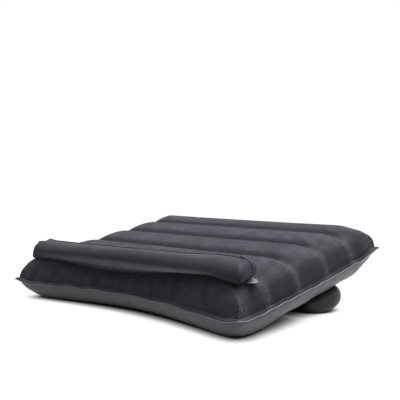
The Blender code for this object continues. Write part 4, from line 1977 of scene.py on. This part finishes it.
@dataclass
class Studio:
    """The pale floor, the soft lamp, the sky and the camera at the photograph's angle."""

    camera_place: Triple = (0.6818, -0.7448, 0.1922)
    yaw: float = 41.8
    tilt: float = 1.98
    roll: float = 0.29
    focal_pixels: float = 650.0
    sensor: float = 36.0
    nearest: float = 0.01
    lamp_place: Triple = (0.25, 0.35, 1.4)
    lamp_aim: Triple = (0, 0, 0.05)
    lamp_side: float = 0.8
    lamp_watts: float = 15.0
    floor_size: float = 60.0
    floor_seen: Colour = (0.08, 0.08, 0.082)
    floor_bounce: Colour = (0.27, 0.27, 0.285)
    floor_glow: float = 1.0
    glow_tint: Colour = (1.0, 1.0, 1.0)
    # shadow_reach to shadow_samples shape the painted contact shadow in the floor's emission.
    shadow_reach: float = 0.034
    shadow_dark: float = 0.09
    shadow_light: float = 0.66
    shadow_samples: int = 16
    sky_tint: Colour = (1.0, 1.0, 1.0)
    sky_centre: Triple = (0.25, 0.10, 0.96)
    sky_start: float = 0.6
    sky_full: float = 1.0
    sky_dark: float = 0.05
    sky_bright: float = 1.30

    def build(self) -> None:
        """Set up the view, the floor, the lamp and the world."""
        scene = bpy.context.scene
        scene.view_settings.view_transform = "Standard"
        self.add_camera()
        self.add_floor()
        self.add_lamp()
        self.add_world()

    def add_camera(self) -> None:
        """Place the camera that was fitted to the photograph's outline."""
        lens = bpy.data.cameras.new("photo_camera")
        lens.sensor_width = self.sensor
        lens.lens = self.focal_pixels * self.sensor / PHOTO_SIDE
        lens.clip_start = self.nearest
        camera = bpy.data.objects.new("photo_camera", lens)
        yaw, tilt, roll = (math.radians(angle) for angle in (self.yaw, self.tilt, self.roll))
        ahead = Vector(
            (-math.sin(yaw) * math.cos(tilt), math.cos(yaw) * math.cos(tilt), -math.sin(tilt))
        )
        level = Vector((math.cos(yaw), math.sin(yaw), 0))
        upright = level.cross(ahead)
        right = level * math.cos(roll) + upright * math.sin(roll)
        up = upright * math.cos(roll) - level * math.sin(roll)
        turned = Matrix((right, up, -ahead)).transposed().to_4x4()
        camera.matrix_world = Matrix.Translation(self.camera_place) @ turned
        bpy.context.scene.collection.objects.link(camera)
        bpy.context.scene.camera = camera

    def add_floor(self) -> None:
        """A pale floor that shows as white to the camera, keeps a faint real shadow and carries a
        painted contact shadow.
        """
        mesh = bmesh.new()
        bmesh.ops.create_grid(mesh, x_segments=2, y_segments=2, size=self.floor_size / 2)
        data = bpy.data.meshes.new("floor")
        mesh.to_mesh(data)
        mesh.free()
        floor = bpy.data.objects.new("floor", data)
        bpy.context.scene.collection.objects.link(floor)
        data.materials.append(self.floor_material())

    def floor_material(self) -> Material:
        """White where it is seen or mirrored, by its own emission, which a painted shadow darkens
        where ambient occlusion finds the object close.

        Returns:
            The finished material.
        """
        wiring = Wiring("pale_floor")
        seen = self.seen(wiring.tree)
        wiring.drive("Base Color", wiring.blend(seen, self.floor_bounce, self.floor_seen))
        # Painted contact shadow: ambient occlusion darkens the floor's emission near the object;
        # this shadow does not come from the lamp.
        open_sky = wiring.add("ShaderNodeAmbientOcclusion", samples=self.shadow_samples)
        open_sky.inputs["Distance"].default_value = self.shadow_reach
        outside_painted_shadow = wiring.spread(open_sky.outputs["AO"], self.shadow_dark, self.shadow_light, 0.0, 1.0)
        outside_painted_shadow.node.interpolation_type = "SMOOTHSTEP"
        emission_with_painted_shadow = wiring.fold(Arithmetic.MULTIPLY, seen, outside_painted_shadow, self.floor_glow)
        wiring.drive("Emission Strength", emission_with_painted_shadow)
        wiring.fixed(Roughness=1.0, Specular_IOR_Level=0.0, Emission_Color=self.glow_tint)
        return wiring.material

    def seen(self, tree: NodeTree) -> NodeSocket:
        """1 for a ray from the camera, a mirror or a clear piece, and 0 for the others.

        Args:
            tree: The material or world that asks.

        Returns:
            The output of the last node.
        """
        path = tree.nodes.new("ShaderNodeLightPath")
        result = path.outputs["Is Camera Ray"]
        for name in ("Is Glossy Ray", "Is Transmission Ray"):
            either = tree.nodes.new("ShaderNodeMath")
            either.operation = "MAXIMUM"
            tree.links.new(result, either.inputs[0])
            tree.links.new(path.outputs[name], either.inputs[1])
            result = either.outputs[0]
        return result

    def add_lamp(self) -> None:
        """A square soft lamp high over the desk."""
        light = bpy.data.lights.new("overhead", "AREA")
        light.size = self.lamp_side
        light.energy = self.lamp_watts
        lamp = bpy.data.objects.new("overhead", light)
        lamp.location = self.lamp_place
        facing = Vector(self.lamp_aim) - Vector(self.lamp_place)
        lamp.rotation_euler = facing.to_track_quat("-Z", "Y").to_euler()
        bpy.context.scene.collection.objects.link(lamp)

    def add_world(self) -> None:
        """White to the camera; to the object a wide soft light from above, behind and the right."""
        world = bpy.data.worlds.new("studio_world")
        world.use_nodes = True
        tree = world.node_tree
        shader = tree.nodes["Background"]
        shader.inputs["Color"].default_value = (*self.sky_tint, 1)
        place = tree.nodes.new("ShaderNodeTexCoord")
        toward = tree.nodes.new("ShaderNodeVectorMath")
        toward.operation = "DOT_PRODUCT"
        toward.inputs[1].default_value = Vector(self.sky_centre).normalized()
        tree.links.new(place.outputs["Generated"], toward.inputs[0])
        limits = (self.sky_start, self.sky_full, self.sky_dark, self.sky_bright)
        sky = map_range(tree, toward.outputs["Value"], limits)
        choice = tree.nodes.new("ShaderNodeMix")
        tree.links.new(self.seen(tree), choice.inputs["Factor"])
        tree.links.new(sky.outputs["Result"], choice.inputs["A"])
        choice.inputs["B"].default_value = 1.0
        tree.links.new(choice.outputs["Result"], shader.inputs["Strength"])
        bpy.context.scene.world = world


def dress_ribs(finish: RibWeb) -> None:
    """Give the four ribs their material.

    Args:
        finish: The ribs' finish.
    """
    material = finish.material()
    for name, node in frame["nodes"].items():
        if name.startswith("cushion_rib"):
            node.data.materials.clear()
            node.data.materials.append(material)


@dataclass
class Valve:
    """One oral valve: a welded collar, a sliding stem, a plug on a strap and a check flap."""

    chamber: str
    skin: Object
    material: Material
    flange_radius: float = 0.0092
    flange_thickness: float = 0.0007
    flange_steps: int = 12
    flange_edge: float = 0.88
    weld_ring: float = 0.00022
    weld_ring_place: float = 0.62
    weld_ring_width: float = 0.09
    fillet: float = 0.0006
    fillet_reach: float = 0.22
    neck_radius: float = 0.0059
    neck_bore: float = 0.0047
    neck_out: float = 0.0020
    neck_in: float = 0.0034
    neck_lip: float = 0.0003
    hole_reach: float = 0.011
    bore: float = 0.0032
    stem_radius: float = 0.0044
    stem_rounding: float = 0.0003
    rim: float = 0.0035
    foot: float = -0.0129
    stop_radius: float = 0.0054
    stop_thickness: float = 0.0012
    lug_length: float = 0.0038
    lug_width: float = 0.0036
    lug_thickness: float = 0.0012
    lug_overlap: float = 0.0006
    head_radius: float = 0.0052
    head_thickness: float = 0.0014
    head_shoulder: float = 0.7
    head_crown: float = 0.6
    head_rounding: float = 0.0004
    pin_length: float = 0.0038
    pin_taper: float = 0.0007
    strap_width: float = 0.0030
    strap_thickness: float = 0.0010
    strap_rounding: float = 0.00025
    hinge_radius: float = 0.0072
    flap_radius: float = 0.0043
    flap_top: float = -0.0132
    flap_thickness: float = 0.0006
    flap_rounding: float = 0.0002
    flap_hinge: float = 0.0054
    tab_rounding: float = 0.00015
    inset: float = 0.00005
    gap: float = 0.0003
    deepest: float = -0.0045
    ray_start: float = 0.012
    segments: int = 64

    def __post_init__(self) -> None:
        """Find the valve's middle and axes from the joint that its stem slides on."""
        name = f"{self.chamber}_stem_slide"
        slide = next(joint for joint in frame["joints"] if joint["name"] == name)
        out = Vector(slide["axis"]).normalized()
        across = out.cross(Vector((0, 0, 1))).normalized()
        turned = Matrix((across.cross(out), across, out)).transposed().to_4x4()
        self.frame = Matrix.Translation(slide["pos_m"]) @ turned

    def build(self) -> list[Object]:
        """Make the four pieces and the hole that the neck goes through.

        Returns:
            The four pieces.
        """
        tree = BVHTree.FromObject(self.skin, bpy.context.evaluated_depsgraph_get())
        pieces = {
            "collar": self.collar(tree),
            "stem": self.stem(),
            "plug": self.plug(),
            "flap": self.flap(),
        }
        hole, reach = self.neck_radius + self.gap, self.hole_reach
        profile = [(0.0, -reach), (hole, -reach), (hole, reach), (0.0, reach)]
        cutter = self.lathe("hole", np.array(profile))
        combine(self.skin, cutter, Joining.DIFFERENCE, SHEET_SHARP)
        for piece, made in pieces.items():
            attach(made, ROOT_BODY if piece == "collar" else f"{self.chamber}_{piece}")
            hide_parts(f"{self.chamber}_valve_{piece}")
        return list(pieces.values())

    def turned(self, points: Array) -> Array:
        """Turn profiles round the valve's axis.

        Args:
            points: Pairs of a radius and a height, one profile for all angles or one for each.

        Returns:
            World points, angles by profile points by three numbers.
        """
        angles = 2 * np.pi * np.arange(self.segments) / self.segments
        each = np.broadcast_to(points, (self.segments, *points.shape[-2:]))
        x = each[..., 0] * np.cos(angles)[:, None]
        y = each[..., 0] * np.sin(angles)[:, None]
        local = np.stack([x, y, each[..., 1], np.ones_like(x)], axis=2)
        return (local @ np.array(self.frame).T)[..., :3]

    def lathe(self, name: str, profile: Array) -> Object:
        """A closed solid of revolution.

        Args:
            name: The piece's name within the valve.
            profile: Pairs of a radius and a height, which start and end on the axis.

        Returns:
            The solid.
        """
        ring = self.turned(profile[1:-1])
        count = ring.shape[1]
        ends = [self.frame @ Vector((0, 0, float(profile[n, 1]))) for n in (0, -1)]
        low, high = self.segments * count, self.segments * count + 1
        faces = self.walls(count, False)
        for n in range(self.segments):
            following = (n + 1) % self.segments
            faces.append([low, following * count, n * count])
            faces.append([high, n * count + count - 1, following * count + count - 1])
        return self.turned_piece(name, [*ring.reshape(-1, 3), *ends], faces)

    def hoop(self, name: str, profiles: Array) -> Object:
        """A closed ring whose profile is closed, one for all angles or one for each."""
        ring = self.turned(profiles)
        return self.turned_piece(name, ring.reshape(-1, 3), self.walls(ring.shape[1], True))

    def turned_piece(
        self, name: str, points: Array | list[Vector], faces: list[list[int]]
    ) -> Object:
        """Add one of the valve's pieces to the scene."""
        full_name = f"{self.chamber}_valve_{name}_fine"
        return make_object(full_name, points, faces, self.material, MOULDED_SHARP)

    def walls(self, count: int, closed: bool) -> list[list[int]]:
        """Faces between neighbouring profiles of a turned form.

        Args:
            count: How many points a profile has.
            closed: True where its last point joins its first.

        Returns:
            Point numbers of each face, facing outwards.
        """
        faces = []
        for n in range(self.segments):
            low, high = n * count, (n + 1) % self.segments * count
            for k in range(count if closed else count - 1):
                onward = (k + 1) % count
                faces.append([low + k, high + k, high + onward, low + onward])
        return faces

    def block(self, low: Triple, high: Triple, radius: float) -> Object:
        """A small block in the valve's frame with all its edges rounded.

        Args:
            low: Its lowest corner.
            high: Its highest corner.
            radius: How far from each edge its curve starts.

        Returns:
            The block.
        """
        mesh = bmesh.new()
        bmesh.ops.create_cube(mesh, size=1.0)
        size = Vector(high) - Vector(low)
        middle = (Vector(high) + Vector(low)) / 2
        for vert in mesh.verts:
            vert.co = Vector(a * b for a, b in zip(vert.co, size)) + middle
        bmesh.ops.bevel(
            mesh, geom=mesh.edges[:], offset=radius, segments=3, profile=0.5, affect="EDGES"
        )
        bmesh.ops.transform(mesh, matrix=self.frame, verts=mesh.verts)
        return from_bmesh("valve_block", mesh, self.material)

    def skin_height(self, tree: BVHTree, angle: float, radius: float) -> float:
        """Height of the fine skin under a place, along the valve's axis.

        Args:
            tree: The skin's search tree.
            angle: Angle of the place round the axis, in radians.
            radius: Its distance from the axis.

        Returns:
            The height, no lower than the deepest that the flange follows.
        """
        place = Vector((radius * math.cos(angle), radius * math.sin(angle), self.ray_start))
        inward = self.frame.to_3x3() @ Vector((0, 0, -1))
        hit = tree.ray_cast(self.frame @ place, inward, 2 * self.ray_start)
        return self.deepest if hit[0] is None else max(self.ray_start - hit[3], self.deepest)

    def neck(self) -> list[tuple[float, float]]:
        """The neck's profile, from its inner foot over the rounded mouth to the flange.

        Returns:
            Pairs of a radius and a height.
        """
        curve, lip = 0.3 * self.neck_lip, self.neck_lip
        return [
            (self.neck_bore, -self.neck_in),
            (self.neck_bore, self.neck_out - lip),
            (self.neck_bore + curve, self.neck_out - curve),
            (self.neck_bore + lip, self.neck_out),
            (self.neck_radius - lip, self.neck_out),
            (self.neck_radius - curve, self.neck_out - curve),
            (self.neck_radius, self.neck_out - lip),
        ]

    def collar(self, tree: BVHTree) -> Object:
        """The flange that lies on the skin, with a raised weld ring, and the neck in one piece.

        Args:
            tree: The skin's search tree.

        Returns:
            The collar.
        """
        radii = np.linspace(self.neck_radius, self.flange_radius, self.flange_steps)
        share = (radii - self.neck_radius) / (self.flange_radius - self.neck_radius)
        outward = np.clip((share - self.flange_edge) / (1 - self.flange_edge), 0, 1)
        edge = np.sqrt(np.clip(1 - outward**2, 0.04, 1))
        place, width = self.weld_ring_place, self.weld_ring_width
        ring = self.weld_ring * np.exp(-(((share - place) / width) ** 2))
        fillet = self.fillet * np.clip(1 - share / self.fillet_reach, 0, 1) ** 2
        tall = self.flange_thickness * edge + ring + fillet
        profiles = []
        for n in range(self.segments):
            angle = 2 * math.pi * n / self.segments
            skin = np.array([self.skin_height(tree, angle, radius) for radius in radii])
            top = list(zip(radii, skin + self.gap + tall))
            under = list(zip(radii[::-1], (skin + self.gap)[::-1]))
            inner_foot = (self.neck_radius, -self.neck_in)
            profiles.append(np.array([*self.neck(), *top, *under, inner_foot]))
        return self.hoop("collar", np.array(profiles)[:, ::-1])

    def stem(self) -> Object:
        """The tube with its rounded mouth, its stop ring and the lug for the strap.

        Returns:
            The stem.
        """
        stop = self.foot + self.stop_thickness
        profile = [
            (self.bore, self.foot),
            (self.bore, self.rim),
            (self.stem_radius, self.rim),
            (self.stem_radius, stop),
            (self.stop_radius, stop),
            (self.stop_radius, self.foot),
        ]
        tube = self.hoop("stem", rounded(profile, self.stem_rounding, True)[::-1])
        half = self.lug_width / 2
        start = self.stem_radius - self.lug_overlap
        low = (start, -half, self.rim - self.lug_thickness)
        high = (self.stem_radius + self.lug_length, half, self.rim - self.inset)
        lug = self.block(low, high, self.stem_rounding)
        combine(tube, lug, Joining.UNION, MOULDED_SHARP)
        return tube

    def plug(self) -> Object:
        """The domed head with its tapered pin and the strap that it swings on.

        Returns:
            The plug.
        """
        base = self.rim + self.gap
        pin = self.bore - self.gap
        top = base + self.head_thickness
        profile = [
            (0.0, base - self.pin_length),
            (pin - self.pin_taper, base - self.pin_length),
            (pin, base),
            (self.head_radius, base),
            (self.head_radius, base + self.head_shoulder * self.head_thickness),
            (self.head_crown * self.head_radius, top),
            (0.0, top),
        ]
        head = self.lathe("plug", rounded(profile, self.head_rounding, False))
        half = self.strap_width / 2
        low = (self.head_radius / 2, -half, base)
        high = (self.hinge_radius, half, base + self.strap_thickness)
        strap = self.block(low, high, self.strap_rounding)
        combine(head, strap, Joining.UNION, MOULDED_SHARP)
        return head

    def flap(self) -> Object:
        """The thin disc over the stem's foot, with the tab that it bends on.

        Returns:
            The flap.
        """
        low_face = self.flap_top - self.flap_thickness
        profile = [
            (0.0, low_face),
            (self.flap_radius, low_face),
            (self.flap_radius, self.flap_top),
            (0.0, self.flap_top),
        ]
        disc = self.lathe("flap", rounded(profile, self.flap_rounding, False))
        half = self.strap_width / 2
        low = (self.flap_radius / 2, -half, low_face + self.inset)
        high = (self.flap_hinge, half, self.flap_top - self.inset)
        tab = self.block(low, high, self.tab_rounding)
        combine(disc, tab, Joining.UNION, MOULDED_SHARP)
        return disc


def main() -> None:
    """Build every piece and report it."""
    logging.basicConfig(level=logging.INFO, format="%(name)s: %(message)s")
    form = CushionForm()
    grey = SatinSheet("grey_sheet", (0.195, 0.195, 0.221), roughness=0.42, gloss=0.4)
    black = SatinSheet("wrist_rest_sheet", (0.052, 0.051, 0.062), roughness=0.45, gloss=0.12)
    roll = SatinSheet("roll_sheet", (0.022, 0.024, 0.028), roughness=0.46, gloss=0.4)
    top = CushionSheet(
        form,
        form.top,
        "cushion_top_sheet",
        Flock(),
        "flocked_sheet",
        crease_places=(-0.108, -0.069),
    ).build()
    under = CushionSheet(
        form, form.under, "cushion_bottom_sheet", grey, "grey_sheet", overhang=0.0010, seed=31
    ).build()
    bar = WristRest(form, Rest(form, form.top, top), black, ClearWeld()).build()
    lift = RearRoll(form, Rest(form, form.under, under), roll).build()
    moulding = Moulding().material()
    skins = {"cushion": under, "wrist": bar[0], "roll": lift[0]}
    valves = [Valve(chamber, skin, moulding).build() for chamber, skin in skins.items()]
    for group in ([top, under], bar, lift, *valves):
        for made in group:
            log.info("%s: %d points", made.name, len(made.data.vertices))
    dress_ribs(RibWeb())
    Studio().build()


if __name__ == "__main__":
    main()
